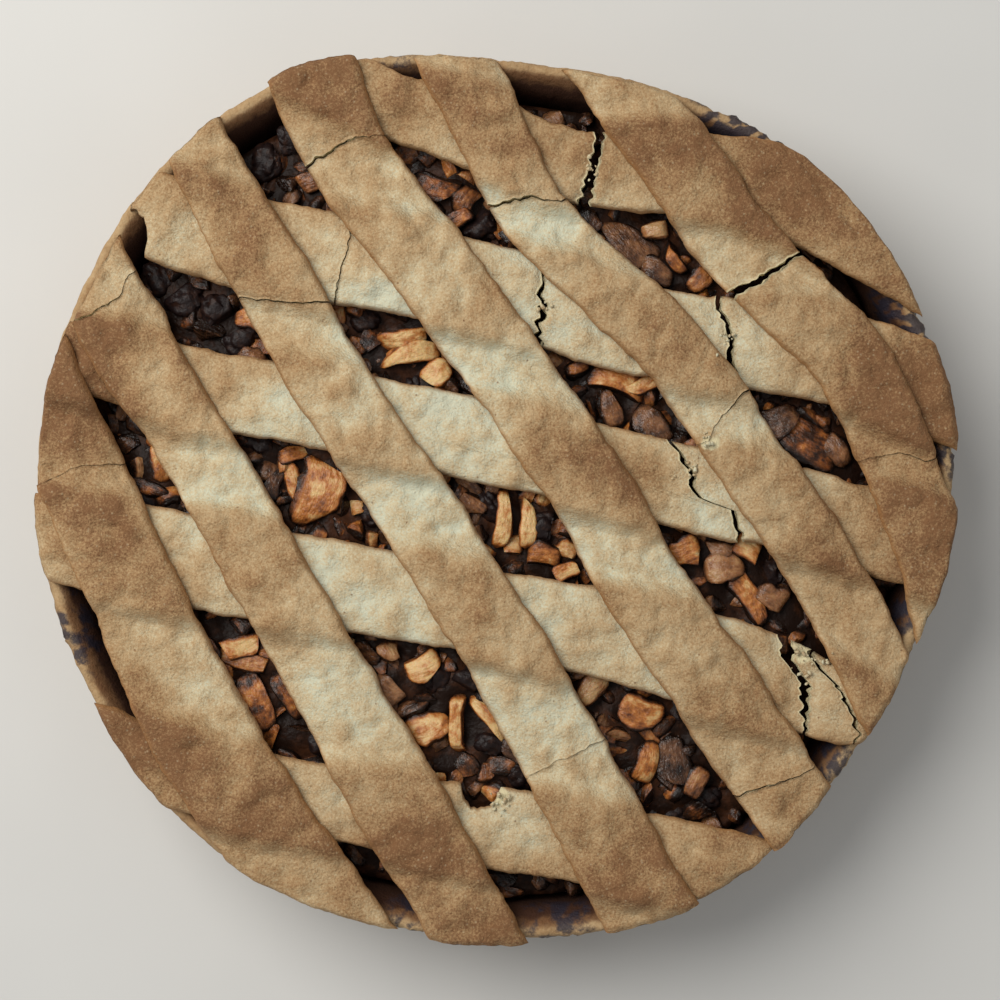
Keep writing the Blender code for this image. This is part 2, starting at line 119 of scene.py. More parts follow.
# The strips, where the solids have them, but rounder in section and lying closer on each other
RIM_PRESSED = 0.8
RIM_REST = 8.5
RIM_SLOPE = 25.0
DRAPE_MARGIN = 0.6
DRAPE_FALL = 6.0
STRIP_GAP = 0.1
LINE_STEP = 2.0
SPARE_STEPS = 15
TOP_COLUMNS = 31
TOP_REACH = 0.88  # the top's share of the half width
CROWN = 0.10
CROWN_FALL = 0.24  # how much lower the top is at its edges
CROWN_CURVE = 2.2
SIDE_SECTION = ((0.918, 0.79), (0.947, 0.69), (0.97, 0.56), (0.988, 0.4), (1.0, 0.22), (0.99, 0.05))
CORNER_ROUND = 0.5
END_REACH_BACK = 2.4
END_DROOP = 0.8
END_THINNING = 0.45
FULLY_OPEN = 1.2
HAIR_CRACK = 0.03
LIP_THINNING = 0.15
LIP_FALL = 1.2
LIP_WIDTH = 0.8
LIP_PALENESS = 0.75
BASE_BROWN = 0.22
RAISED_BROWN = 0.34  # over the lower strips
RAISED_MARGIN = 0.5
RAISED_FALL = 4.5
UPPER_RIM_BROWN = 0.36
LOWER_RIM_BROWN = 0.52
BUMP_BROWN = 0.17
PATCH_PALENESS = 0.8
PATCH_SINK = 0.3
RELIEF_SHARE = 0.9
STRIP_SEED = 40

# How far each strip's two ends reach past the rim's outer edge
END_REACH = {
    "upper_strip_1": (-1.0, 0.6),
    "upper_strip_2": (-2.8, 2.2),
    "upper_strip_3": (-0.5, 0.8),
    "upper_strip_4": (1.2, 0.8),
    "upper_strip_5": (-0.8, 0.5),
    "upper_strip_6": (-0.8, 1.0),
    "lower_strip_1": (0.0, 1.5),
    "lower_strip_2": (-0.8, 2.0),
    "lower_strip_3": (-0.8, 1.3),
    "lower_strip_4": (0.6, 0.6),
    "lower_strip_5": (0.4, 0.0),
}
# Each strip's middle line and width at a few places: X, Y, width
UPPER_STRIPS = {
    "upper_strip_1": ((-132, 40, 25), (-110, -9, 25), (-81, -70, 29), (-40, -129, 27)),
    "upper_strip_2": (
        (-114, 66, 21), (-104, 45, 24), (-83, 12, 22), (-42, -61, 24),
        (-25, -90, 26), (-1, -131, 23),
    ),
    "upper_strip_3": (
        (-88, 107, 18), (-64, 63, 22), (-45, 30, 22), (-25, 0, 23),
        (2, -42, 24), (21, -76, 25), (48, -126, 27),
    ),
    "upper_strip_4": (
        (-55, 128, 26), (-40, 94, 24), (-19, 67, 24), (23, 8, 24),
        (41, -23, 24), (64, -57, 25), (94, -102, 24),
    ),
    "upper_strip_5": (
        (-15, 133, 22), (6, 89, 20), (17, 73, 20), (51, 41, 20),
        (73, 9, 21), (91, -17, 21), (118, -67, 22),
    ),
    "upper_strip_6": (
        (28, 128, 22), (52, 95, 23), (71, 69, 23), (102, 36, 22),
        (122, -10, 21), (128, -29, 22),
    ),
}
LOWER_STRIPS = {
    "lower_strip_1": (
        (-46, 119, 18), (-27, 110, 19), (-6, 104, 22), (22, 94, 21),
        (74, 89, 25), (111, 69, 22),
    ),
    "lower_strip_2": (
        (-113, 91, 18), (-91, 78, 25), (-54, 69, 26), (0, 59, 25),
        (28, 50, 25), (52, 45, 26), (99, 39, 26), (137, 25, 27),
    ),
    "lower_strip_3": (
        (-130, 42, 20), (-78, 30, 22), (-23, 20, 23), (66, 0, 24),
        (94, -6, 24), (133, -18, 24),
    ),
    "lower_strip_4": (
        (-138, -10, 24), (-89, -18, 27), (-12, -31, 24), (46, -43, 26),
        (80, -53, 26), (108, -63, 17),
    ),
    "lower_strip_5": (
        (-113, -70, 22), (-96, -76, 22), (-55, -86, 21), (3, -95, 24),
        (59, -104, 21), (77, -108, 20),
    ),
}
# Breaks that part a strip: open width at its near and far edge, raggedness, then the line it follows
BREAKS = {
    "upper_strip_5": ((1.0, 0.5, 0.7, ((-1, 82), (5, 84), (10, 84), (19, 83))),),
    "upper_strip_6": ((2.2, 1.0, 0.8, ((66, 56), (75, 61), (79, 64), (86, 68))),),
    "lower_strip_1": ((3.2, 2.6, 1.2, ((30, 103), (28, 94), (26, 82))),),
    "lower_strip_2": ((2.2, 1.4, 1.0, ((63, 57), (67, 43), (69, 32))),),
    "lower_strip_3": ((1.4, 1.4, 1.0, ((50, 15), (55, 7), (59, -1), (68, -4), (69, -11))),),
    "lower_strip_4": ((0.8, 4.4, 1.4, ((82, -37), (84.5, -46), (88, -53), (87.5, -66))),),
}
CRACKS = {
    "upper_strip_1": ((0.0, 0.2, 0.3, ((-116, 9), (-106, 9))),),
    "upper_strip_2": ((0.5, 0.2, 0.5, ((-103, 63), (-105, 57), (-114, 51))),),
    "upper_strip_3": (
        (0.3, 0.6, 0.5, ((-72, 56), (-54, 54), (-47, 55))),
        (0.0, 0.12, 0.4, ((14, -77), (31, -69))),
    ),
    "upper_strip_4": (
        (1.0, 0.1, 0.6, ((-52, 94), (-42, 101), (-31, 102))),
        (0.5, 0.2, 0.5, ((67, -85), (76, -83), (90, -77))),
    ),
    "upper_strip_5": ((0.0, 0.4, 0.6, ((55, 12), (61, 16.5), (65.5, 24), (70, 29))),),
    "upper_strip_6": ((0.0, 0.3, 0.4, ((106, 11), (114, 12), (122, 10))),),
    "lower_strip_4": ((0.6, 1.6, 1.3, ((90, -45), (94, -50), (98.5, -56), (101, -62), (103, -67))),),
    "lower_strip_2": (
        (0.5, 0.25, 0.6, ((-41, 73), (-44, 61), (-46, 55))),
        (2.4, 0.8, 1.5, ((13, 70), (14, 46))),
    ),
}
# Bites missing from a strip's edge: side, middle, half length and depth
BITES = {
    "lower_strip_5": ((1, (-4, -84), 5.5, 7.0),),
    "lower_strip_2": ((-1, (-107, 72), 7.0, 9.0),),
}

# Pieces of filling that stand out: kind, X, Y, heading in degrees, length, width, tone from dark to pale,
# and for the clear, soft-cooked ones how clear they are
SHOWN_LUMPS = (
    ("raisin", -4, 77, 15, 11, 9, 0.0),
    ("slice", -51.5, 1.5, 75, 22, 14, 0.56),
    ("stick", 2, -6.5, 80, 17, 5.5, 0.8),
    ("stick", 9, -6.5, 92, 17, 5, 0.85),
    ("stick", -26, 45, 12, 16, 5.5, 0.72),
    ("slice", -24, 39.5, 15, 18, 6, 0.85),
    ("slice", -16.5, 34.5, 30, 10, 7, 0.8),
    ("slice", 35, 31, -20, 18, 8, 0.48),
    ("stick", 69, -27.5, -50, 25, 6.5, 0.5),
    ("slice", 55, -15, 20, 11, 9, 0.6),
    ("slice", 73, -15.5, -30, 10, 8, 0.62),
    ("raisin", -7.5, -51.5, 40, 10, 9, 0.0),
    ("slice", -18.5, -65.5, 25, 13, 10, 0.68),
    ("stick", -9.5, -65.5, 90, 21, 4, 0.78),
    ("slice", -1, -64, -50, 17, 7, 0.85),
    ("slice", -20.5, -48, 20, 11, 9, 0.75),
    ("raisin", 0, -72, -10, 12, 8, 0.0),
    ("raisin", 8, -79.5, 60, 9, 8, 0.0),
    ("slice", 42, -60.5, -15, 14, 10, 0.54),
    ("slice", 43.5, -76, 75, 13, 9, 0.55),
    ("slice", -68, -59, -70, 18, 10, 0.38),
    ("slice", -95, 10, -70, 12, 7, 0.66),
    ("slice", -73, -42, 10, 13, 6, 0.62),
    ("slice", 90, 17, -30, 22, 13, 0.22),
    ("raisin", -89, 57, 20, 12, 10, 0.0),
    ("raisin", -80, 53, -40, 11, 9, 0.0),
    ("raisin", -66, 96, 70, 12, 9, 0.0),
    ("slice", 39, 73, -48, 20, 11, 0.32, 1.0),
    ("chunk", 46, 76, 10, 8, 6, 0.8, 0.7),
    ("stick", 52, 69, -60, 12, 4, 0.4),
    ("slice", 46, 64, -20, 12, 8, 0.24, 1.0),
    ("chunk", 58, 62, 40, 8, 6, 0.45, 0.3),
    ("slice", -16, 89, -20, 14, 8, 0.22),
    ("chunk", -8, 84, 60, 10, 8, 0.26, 0.4),
    ("stick", -11, 78, 35, 12, 5, 0.38),
    ("slice", 100, 62, 20, 13, 7, 0.75),
    ("slice", 104, 56, -40, 14, 9, 0.3, 0.8),
    ("chunk", 14, -18, -10, 11, 8, 0.42),
    ("raisin", 15, -9, 70, 10, 8, 0.0),
    ("slice", 21, -22, 20, 9, 5, 0.62),
    ("slice", 52, -76, -75, 15, 10, 0.16, 1.0),
    ("slice", 60, -70, -60, 12, 6, 0.4, 0.5),
    ("chunk", 29, -56, 40, 12, 7, 0.75, 0.6),
    ("slice", 58, -82, 60, 10, 7, 0.35, 0.6),
    ("slice", 8, -73, -20, 14, 9, 0.12, 1.0),
    ("chunk", -30, -55, -40, 12, 8, 0.5, 1.0),
    ("raisin", -72, 45, 30, 11, 9, 0.0),
    ("slice", -69, 50, -10, 11, 7, 0.55),
    ("chunk", -70, 38, 20, 11, 8, 0.4, 0.9),
    ("raisin", -58, 103, -30, 11, 8, 0.0),
    ("chunk", -52, 90, 20, 10, 7, 0.4, 0.5),
    ("stick", -59, -57, -60, 16, 5, 0.26),
    ("slice", 33, 25, -70, 12, 7, 0.4, 0.8),
    ("slice", 46, 21, -50, 14, 9, 0.3, 1.0),
    ("stick", 42, 33, 30, 13, 5, 0.66),
    ("slice", 66, -21, 10, 12, 9, 0.6, 0.8),
    ("chunk", 79, -29, -30, 10, 8, 0.5, 0.9),
    ("slice", 82, 22, 30, 13, 9, 0.22, 1.0),
    ("chunk", 98, 13, -50, 11, 8, 0.3, 0.9),
)
LumpKind = namedtuple("LumpKind", "thickness roundness end_flatness wrinkle cuts rings sides")
LUMP_KINDS = {
    "stick": LumpKind(4.4, 0.35, 7.0, 0.16, 3, 15, 16),
    "slice": LumpKind(3.4, 0.42, 4.5, 0.22, 8, 15, 18),
    "chunk": LumpKind(5.6, 0.42, 4.0, 0.25, 10, 15, 18),
    "raisin": LumpKind(6.4, 0.9, 2.2, 0.30, 1, 23, 30),
    "crumb": LumpKind(1.1, 0.8, 2.4, 0.35, 3, 7, 8),
}

CUT_EDGE = math.radians(55)
CUT_RISE = (-0.5, 0.8)
CUT_PLACE = (0.45, 0.85)
CUT_FLATNESS = 0.92
SHOWN_CUTS = 2
SHOWN_TILT = (-0.1, 0.1)
SHOWN_ROLL = (-0.2, 0.2)
LUMP_UNEVENNESS = 0.13
LUMP_TAPER = (0.0, 0.35)
SLICE_WEDGE = (0.0, 0.6)
LUMP_BEND = (-0.12, 0.12)
LUMP_ARCH = (-0.05, 0.12)

# The loose pieces: how often each kind comes, their sizes, tones and clearness
LOOSE_KINDS = {"stick": 4, "slice": 6, "chunk": 5, "raisin": 1}
LOOSE_LENGTHS = {"stick": (6, 18), "slice": (6, 15), "chunk": (4, 11), "raisin": (8, 12)}
LOOSE_WIDTHS = {"stick": (3, 6), "slice": (5, 11), "chunk": (5, 9), "raisin": (7, 9)}
LOOSE_TONES = (0.04, 0.12, 0.2, 0.28, 0.36, 0.44, 0.52, 0.62, 0.74)
LOOSE_CLEARNESS = (0.0, 0.0, 0.3, 0.8, 1.0)
# Their two layers: how many, how far apart, how far down and how bright; the deeper layer is darker as
# painted shade under the upper one
LOOSE_LAYERS = ((420, 4.7, 0.6, 0.92), (330, 5.2, 3.0, 0.6))
LOOSE_TILT = (-0.5, 0.5)
LOOSE_ROLL = (-0.7, 0.7)
LOOSE_SINK = (0, 1.8)
EDGE_SHADE = 0.3
UNDER_STRIPS = 3.0  # how far under a strip's edge they still lie
TRIES_EACH = 40
PILE_NAMES = {
    "stick": "apple_sticks",
    "slice": "apple_slices",
    "chunk": "apple_chunks",
    "raisin": "dark_raisins",
}
CRUMB_INSET = 0.8
CRUMB_LENGTH = (0.7, 2.2)
CRUMB_SHORTENED = (0.6, 1.0)
CRUMB_WIDTH = (0.6, 0.9)
CRUMB_LIFT = 0.45
CRUMB_FULL_LENGTH = 1.4  # a crumb of this length keeps its kind's thickness

# Colours of the picture, as 0 to 255 screen values
PALE_DOUGH = (198, 197, 173)
CREAM_DOUGH = (195, 179, 145)
GOLDEN_DOUGH = (181, 154, 116)
BROWN_DOUGH = (157, 124, 86)
DARK_DOUGH = (119, 83, 53)
TORN_DOUGH = (212, 199, 160)
EDGE_DOUGH = (164, 117, 70)
PALE_APPLE = (204, 168, 114)
ORANGE_APPLE = (172, 107, 50)
CARAMEL_APPLE = (120, 68, 32)
BROWN_APPLE = (62, 36, 22)
GLASSY_APPLE = (76, 50, 34)
CLOUDY_APPLE = (146, 104, 72)
SYRUP = (27, 15, 9)
RAISIN = (26, 16, 15)
SHELL_INSIDE = (98, 60, 34)
BURNT_JUICE = (42, 40, 50)
FLOOR_GREY = (205, 203, 199)

# Where the oven browned the dough more, or less: X, Y, radius and how much
BAKED_PATCHES = (
    (-58, 122, 20, 0.10),
    (-120, 22, 22, 0.50),
    (-70, 80, 18, 0.10),
    (60, 100, 18, 0.06),
    (118, 10, 24, 0.15),
    (-60, -95, 26, 0.12),
    (-24, -94, 16, 0.20),
    (-2, -118, 20, 0.38),
    (100, -70, 18, 0.10),
    (-59, 42, 10, 0.28),
    (-98, 33, 12, -0.32),
    (-48, 54, 8, -0.10),
    (26, 10, 14, 0.20),
    (77, -84, 14, 0.14),
    (44, 44, 12, 0.22),
    (96, -31, 14, 0.24),
    (88, 100, 22, 0.25),
    (121, 31, 14, 0.32),
    (-74, 31, 9, 0.28),
    (44, 5, 12, 0.58),
    (-104, -70, 14, 0.34),
    (0, 61, 9, 0.26),
    (-85, -18, 10, 0.12),
    (5, 77, 13, -0.22),
    (-8, 28, 15, -0.18),
    (-36, 44, 12, -0.12),
    (85, 58, 12, -0.12),
    (-92, -8, 12, -0.10),
    (30, -38, 11, 0.10),
    (-88, 72, 13, -0.45),
    (-124, -11, 12, -0.30),
    (93, -60, 13, -0.34),
    (89, -42, 8, -0.30),
    (4, -99, 13, -0.34),
    (-38, 25, 9, -0.20),
    (-24, 0, 10, -0.20),
    (-14, 58, 9, -0.20),
    (-35, 59, 8, -0.22),
    (-49, -86, 9, -0.14),
    (55, 87, 10, -0.14),
    (-75, -74, 12, -0.12),
    (76, 45, 9, -0.12),
    (90, 82, 10, 0.14),
    (-26, 110, 9, 0.14),
    (37, 88, 8, 0.12),
    (-35, 86, 9, 0.08),
    (18, 75, 9, -0.20),
)
# Where the dough is torn open and crumbly: X, Y, radius
TORN_PATCHES = ((89, -43, 5.5), (1, -85, 4.0), (61, 15, 3.0), (27, 86, 2.0))
# Where the filling is darkest: X, Y, radius and how much
DARK_HEAPS = (
    (-85, 53, 26, 0.75),
    (-64, 97, 22, 0.65),
    (-10, 84, 16, 0.35),
    (105, 58, 18, 0.5),
    (92, 17, 18, 0.4),
    (45, -72, 20, 0.3),
    (-62, -57, 18, 0.3),
    (38, 30, 14, 0.3),
    (47, 70, 16, 0.4),
)
# Where crumbs lie loose: X, Y, spread and how many
CRUMB_SPOTS = (
    (86, -40, 5, 30),
    (90, -47, 5, 20),
    (1, -85, 4, 18),
    (60, 16, 3, 10),
    (28, 92, 4, 10),
    (66, 44, 4, 8),
    (55, 8, 4, 8),
    (14, 54, 3, 8),
)

# Layers of unevenness: height, the size of its features and a seed
EDGE_WAVES = ((0.85, 13.0, 1), (0.4, 5.0, 2))
EDGE_RAGS = ((0.22, 1.7, 3),)
END_RAGS = ((0.45, 8.0, 4), (0.3, 1.7, 5))
BITE_RAGS = ((0.25, 1.6, 8),)
TEAR_RAGS = ((1.4, 4.5, 21), (0.9, 1.9, 22))
LIP_RAGS = ((0.5, 1.9, 30),)
LIP_WAVES = ((0.5, 2.4, 52),)
PATCH_RAGS = ((1.1, 2.4, 50),)
PATCH_BORDER = ((0.35, 3.0, 51),)
DOUGH_SWELL = ((0.55, 24.0, 0),)
DOUGH_LUMPS = ((0.9, 6.4, 3), (0.5, 3.4, 4), (0.2, 1.9, 8))
DOUGH_CLOUDS = ((0.15, 19.0, 6), (0.13, 8.0, 7))
JUICE_PATCHES = ((1.0, 3.4, 90), (0.4, 1.3, 91))
JUICE_CRUST = ((0.6, 1.6, 78),)
SHELL_BULGE = ((0.45, 17.0, 70), (0.3, 6.0, 71), (0.12, 2.2, 72))
SHELL_CLOUDS = ((0.10, 22.0, 76), (0.08, 7.0, 77))
RIM_RAGS = ((0.5, 6.0, 74), (0.4, 2.0, 75))
CORE_LUMPS = ((1.5, 9.0, 80), (0.8, 4.0, 81), (0.3, 2.0, 82))
EDGES_APART = 50.0  # how far apart a strip's two edges are in the noise

SLOPES = np.random.default_rng(5).normal(size=(1024, 3))
SLOPES /= np.linalg.norm(SLOPES, axis=1)[:, None]
CELL_KEYS = np.array((73856093, 19349663, 83492791))
SEED_SHIFT = 17.31
NOISE_GAIN = 1.7


def linear(screen):
    """A screen colour from 0 to 255 as linear light."""
    share = np.array(screen) / 255
    bright = ((share + 0.055) / 1.055) ** 2.4
    return tuple(float(value) for value in np.where(share <= 0.04045, share / 12.92, bright))


def smooth_step(start, end, value):
    """0 before start and 1 after end, with an easy curve between."""
    share = np.clip((value - start) / (end - start), 0.0, 1.0)
    return share * share * (3.0 - 2.0 * share)


def waves(terms, angle):
    """A sum of waves round the pie: how many, how high and where the first crest is, in degrees."""
    return sum(size * np.cos(count * angle - math.radians(crest)) for count, size, crest in terms)


def rough(x, y, z, size, seed):
    """Smooth noise from about -1 to 1 at points in millimetres."""
    place = np.stack(np.broadcast_arrays(x, y, z), axis=-1) / size + seed * SEED_SHIFT
    cell = np.floor(place).astype(np.int64)
    inside = place - cell
    ease = inside**3 * (inside * (inside * 6 - 15) + 10)
    total = np.zeros(place.shape[:-1])
    for corner in itertools.product((0, 1), repeat=3):
        at = cell + corner
        key_x, key_y, key_z = np.moveaxis(at * CELL_KEYS, -1, 0)
        key = key_x ^ key_y ^ key_z
        pull = SLOPES[(key ^ (key >> 13)) % len(SLOPES)]
        weight = np.where(corner, ease, 1 - ease).prod(axis=-1)
        total += weight * ((inside - corner) * pull).sum(axis=-1)
    return total * NOISE_GAIN


def layered(x, y, z, layers, seed=0):
    """Noise in layers, each with its height, the size of its features and its own seed."""
    return sum(height * rough(x, y, z, size, seed + own) for height, size, own in layers)


def rim_radius(angle):
    return RIM_RADIUS + waves(RIM_WAVES, angle)


def rim_height(angle):
    return RIM_HEIGHT + waves(RIM_UNEVEN, angle)


def outward_share(x, y):
    """0 in the middle of the pie and 1 at its rim."""
    return np.hypot(x, y) / rim_radius(np.arctan2(y, x))


def dome(x, y):
    """The level that strips lie on, without the rim."""
    return DOME_HEIGHT - DOME_FALL * outward_share(x, y) ** 2


def heap_level(x, y):
    """The level of the filling's highest pieces."""
    return dome(x, y) - EDGE_DROP * smooth_step(*EDGE_DROP_SPAN, outward_share(x, y))


def rim_nearness(x, y):
    """1 on the rim's own band, falling to 0 where a strip lies on the filling."""
    inward = rim_radius(np.arctan2(y, x)) - np.hypot(x, y)
    return 1.0 - smooth_step(RIM_REST, RIM_SLOPE, inward)


def bed(x, y):
    """The level under a strip: the filling's dome, rising to the rim."""
    level = dome(x, y)
    on_rim = rim_height(np.arctan2(y, x))
    return level + (on_rim - level) * rim_nearness(x, y) + STRIP_GAP


def smooth_line(path):
    """The strip's middle line through its places, with straight spare length at both ends."""
    places = np.array(path, float)
    places = np.vstack((2 * places[0] - places[1], places, 2 * places[-1] - places[-2]))
    line = []
    for before, here, there, after in zip(places, places[1:], places[2:], places[3:]):
        count = max(4, round(float(np.linalg.norm(there - here)) / LINE_STEP))
        t = np.arange(count)[:, None] / count
        pull = (there - before) * t + (2 * before - 5 * here + 4 * there - after) * t**2
        pull += (3 * here - before - 3 * there + after) * t**3
        line.extend(here + pull / 2)
    line.append(places[-2])
    first = line[0] - line[1]
    last = line[-1] - line[-2]
    first = first / np.linalg.norm(first) * LINE_STEP * (1, 1, 0)
    last = last / np.linalg.norm(last) * LINE_STEP * (1, 1, 0)
    before = [line[0] + first * step for step in range(SPARE_STEPS, 0, -1)]
    after = [line[-1] + last * step for step in range(1, SPARE_STEPS + 1)]
    return np.array(before + line + after)


class Strip:
    """A strip of dough as a middle line with a width, read by distance along it and place across it."""

    def __init__(self, name, path, is_upper):
        self.name = name
        self.is_upper = is_upper
        self.x, self.y, width = smooth_line(path).T
        self.half = width / 2
        runs = np.hypot(np.diff(self.x), np.diff(self.y))
        self.along = np.concatenate(([0.0], np.cumsum(runs)))
        slope_x = np.gradient(self.x, self.along)
        slope_y = np.gradient(self.y, self.along)
        length = np.hypot(slope_x, slope_y)
        self.normal_x = -slope_y / length
        self.normal_y = slope_x / length

    def place(self, along, across):
        """X and Y at a distance along the strip, with across from -1 to 1, its edges uneven and ragged."""
        half = np.interp(along, self.along, self.half)
        side = np.sign(across) * EDGES_APART
        uneven = layered(along, side, self.x[0], EDGE_WAVES)
        ragged = layered(along, side, self.x[0], EDGE_RAGS)
        offset = across * half + np.sign(across) * (uneven * across**2 + ragged * across**8)
        x = np.interp(along, self.along, self.x) + offset * np.interp(along, self.along, self.normal_x)
        y = np.interp(along, self.along, self.y) + offset * np.interp(along, self.along, self.normal_y)
        return x, y

    def nearest(self, x, y):
        """Distance along the strip and place across it of one point."""
        index = int(np.argmin(np.hypot(self.x - x, self.y - y)))
        offset = (x - self.x[index]) * self.normal_x[index] + (y - self.y[index]) * self.normal_y[index]
        ahead = (x - self.x[index]) * self.normal_y[index] - (y - self.y[index]) * self.normal_x[index]
        return self.along[index] + ahead, offset / self.half[index]

    def edge_distance(self, x, y):
        """How far points lie outside the strip's long edges, negative inside."""
        x, y = np.broadcast_arrays(x, y)
        away = np.hypot(np.ravel(x)[:, None] - self.x, np.ravel(y)[:, None] - self.y)
        return np.reshape((away - self.half).min(axis=1), x.shape)

    def trimmed(self, across):
        """The first and last distance along the strip, for each place across it, where the rim ends it."""
        middle = (self.along[0] + self.along[-1]) / 2
        cuts = []
        for end, reach in enumerate(END_REACH[self.name]):
            cut = []
            for place in across:
                x, y = self.place(self.along, np.full_like(self.along, place))
                spare = np.hypot(x, y) - rim_radius(np.arctan2(y, x)) - reach - layered(x, y, 0, END_RAGS)
                crossed = np.flatnonzero((spare[1:] < 0) != (spare[:-1] < 0))
                is_later = self.along[crossed] > middle
                crossed = crossed[is_later if end else ~is_later]
                here = crossed[-1] if end else crossed[0]
                share = spare[here] / (spare[here] - spare[here + 1])
                cut.append(self.along[here] + share * (self.along[here + 1] - self.along[here]))
            rounded = CORNER_ROUND * np.abs(across) ** 5
            cuts.append(np.array(cut) + (-rounded if end else rounded))
        return cuts

    def line_across(self, points, across):
        """Distances along the strip of a line drawn across it, for each place across."""
        found = sorted((self.nearest(*point) for point in points), key=lambda pair: pair[1])
        return np.interp(across, [pair[1] for pair in found], [pair[0] for pair in found])


LOWER = [Strip(name, path, False) for name, path in LOWER_STRIPS.items()]
UPPER = [Strip(name, path, True) for name, path in UPPER_STRIPS.items()]


def lower_cover(x, y, margin=DRAPE_MARGIN, fall=DRAPE_FALL):
    """1 over the lower strips and a little beyond their edges, falling to 0."""
    cover = np.zeros(np.shape(x))
    for strip in LOWER:
        cover = np.maximum(cover, 1.0 - smooth_step(margin, margin + fall, strip.edge_distance(x, y)))
    return cover


def pressed(x, y):
    """Share of a strip's thickness, less on the rim."""
    return 1.0 - (1.0 - RIM_PRESSED) * rim_nearness(x, y)


def underside(strip, x, y):
    """The level of a strip's underside: its bed, or the lower strip that it lies across."""
    level = bed(x, y)
    if strip.is_upper:
        lower_thickness = bpy.context.scene.pie_sizes.lower_thickness / MM
        level = level + lower_cover(x, y) * (lower_thickness * (1 + CROWN) * pressed(x, y) + STRIP_GAP)
    return level


def dough_relief(x, y, seed):
    """The unevenness of a baked top, then how far each place stands up, which browns it."""
    puffs = smooth_step(0.1, 0.8, rough(x, y, 0, 10.0, seed + 1))
    dents = 0.6 * smooth_step(0.2, 0.8, rough(x, y, 0, 7.0, seed + 2))
    lumps = layered(x, y, 0, DOUGH_LUMPS, seed)
    return layered(x, y, 0, DOUGH_SWELL, seed) + 0.9 * puffs - dents + lumps, puffs - dents + 0.9 * lumps


def mesh_piece(name, points, faces, paint, marks, nodes):
    """A piece from points and from groups of faces with equal numbers of corners, riding on the pie."""
    mesh = bpy.data.meshes.new(name)
    mesh.vertices.add(len(points))
    mesh.vertices.foreach_set("co", (np.asarray(points) * MM).astype(np.float32).ravel())
    corners = np.concatenate([group.ravel() for group in faces]).astype(np.int32)
    totals = np.concatenate([np.full(len(group), group.shape[1]) for group in faces])
    starts = np.concatenate(([0], np.cumsum(totals)[:-1])).astype(np.int32)
    mesh.loops.add(len(corners))
    mesh.loops.foreach_set("vertex_index", corners)
    mesh.polygons.add(len(starts))
    mesh.polygons.foreach_set("loop_start", starts)
    mesh.update(calc_edges=True)
    mesh.validate()
    mesh.shade_smooth()
    for mark, values in marks.items():
        kind, field = ("FLOAT_VECTOR", "vector") if np.ndim(values) == 2 else ("FLOAT", "value")
        attribute = mesh.attributes.new(mark, kind, "POINT")
        attribute.data.foreach_set(field, np.asarray(values, np.float32).ravel())
    mesh.materials.append(paint)
    piece = bpy.data.objects.new(name, mesh)
    bpy.context.scene.collection.objects.link(piece)
    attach(piece, "root")
    if nodes:
        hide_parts(*nodes)
    return piece


def tube_faces(rows, columns, start=0):
    """Four-cornered faces of a skin over closed rings of points."""
    row = np.arange(rows - 1)[:, None] * columns
    here = np.arange(columns)[None, :]
    there = (here + 1) % columns
    faces = np.stack((row + here, row + there, row + columns + there, row + columns + here), axis=-1)
    return faces.reshape(-1, 4) + start


def fan_faces(ring, middle, outward):
    """Triangles from a ring of point numbers to one middle point."""
    ring = np.asarray(ring)
    there = np.roll(ring, -1)
    centre = np.full(len(ring), middle)
    return np.stack((ring, there, centre) if outward else (there, ring, centre), axis=-1)


# Strips of dough


class StripSection:
    """Columns round a strip, as shares across and up: its top, one side, its bottom, the other side."""

    def __init__(self):
        top = np.linspace(-TOP_REACH, TOP_REACH, TOP_COLUMNS)
        side = np.array(SIDE_SECTION)
        self.side_count = len(side)
        crown = 1.0 + CROWN - CROWN_FALL * np.abs(top / TOP_REACH) ** CROWN_CURVE
        self.across = np.concatenate((top, side[:, 0], top[::-1], -side[::-1, 0]))
        self.upward = np.concatenate((crown, side[:, 1], np.zeros(TOP_COLUMNS), side[::-1, 1]))
        self.count = len(self.across)
        self.top = np.arange(TOP_COLUMNS)
        self.right = TOP_COLUMNS + np.arange(self.side_count)
        self.bottom = (TOP_COLUMNS + self.side_count + np.arange(TOP_COLUMNS))[::-1]
        self.left = self.count - 1 - np.arange(self.side_count)


SECTION = StripSection()


def bitten(strip, along, across):
    """Pulls a strip's edge in where a bite is missing from it."""
    for side, middle, half_length, depth in BITES.get(strip.name, ()):
        centre, _ = strip.nearest(*middle)
        half_width = float(np.interp(centre, strip.along, strip.half))
        ragged = 1.0 + layered(along, 0, 0, BITE_RAGS)
        bite = depth / half_width * np.sqrt(np.clip(1.0 - ((along - centre) / half_length) ** 2, 0.0, 1.0))
        keep = 1.0 - bite * ragged
        across = np.where(across * side > 0, across * keep, across)
    return across


def torn_line(strip, tear, side):
    """One lip of a break or crack, ragged: distances along the strip, and how open it is from 0 to 1."""
    near, far, raggedness, points = tear
    line = strip.line_across(points, SECTION.across)
    x, y = strip.place(line, SECTION.across)
    width = near + (far - near) * (SECTION.across + 1) / 2
    ragged = layered(x, y, 0, TEAR_RAGS) + layered(x, y, 0, LIP_RAGS, side) * np.clip(width, 0.0, 1.0)
    lip = line + raggedness * ragged + side * np.maximum(width, HAIR_CRACK) / 2
    return lip, np.clip(width / FULLY_OPEN, 0.0, 1.0)


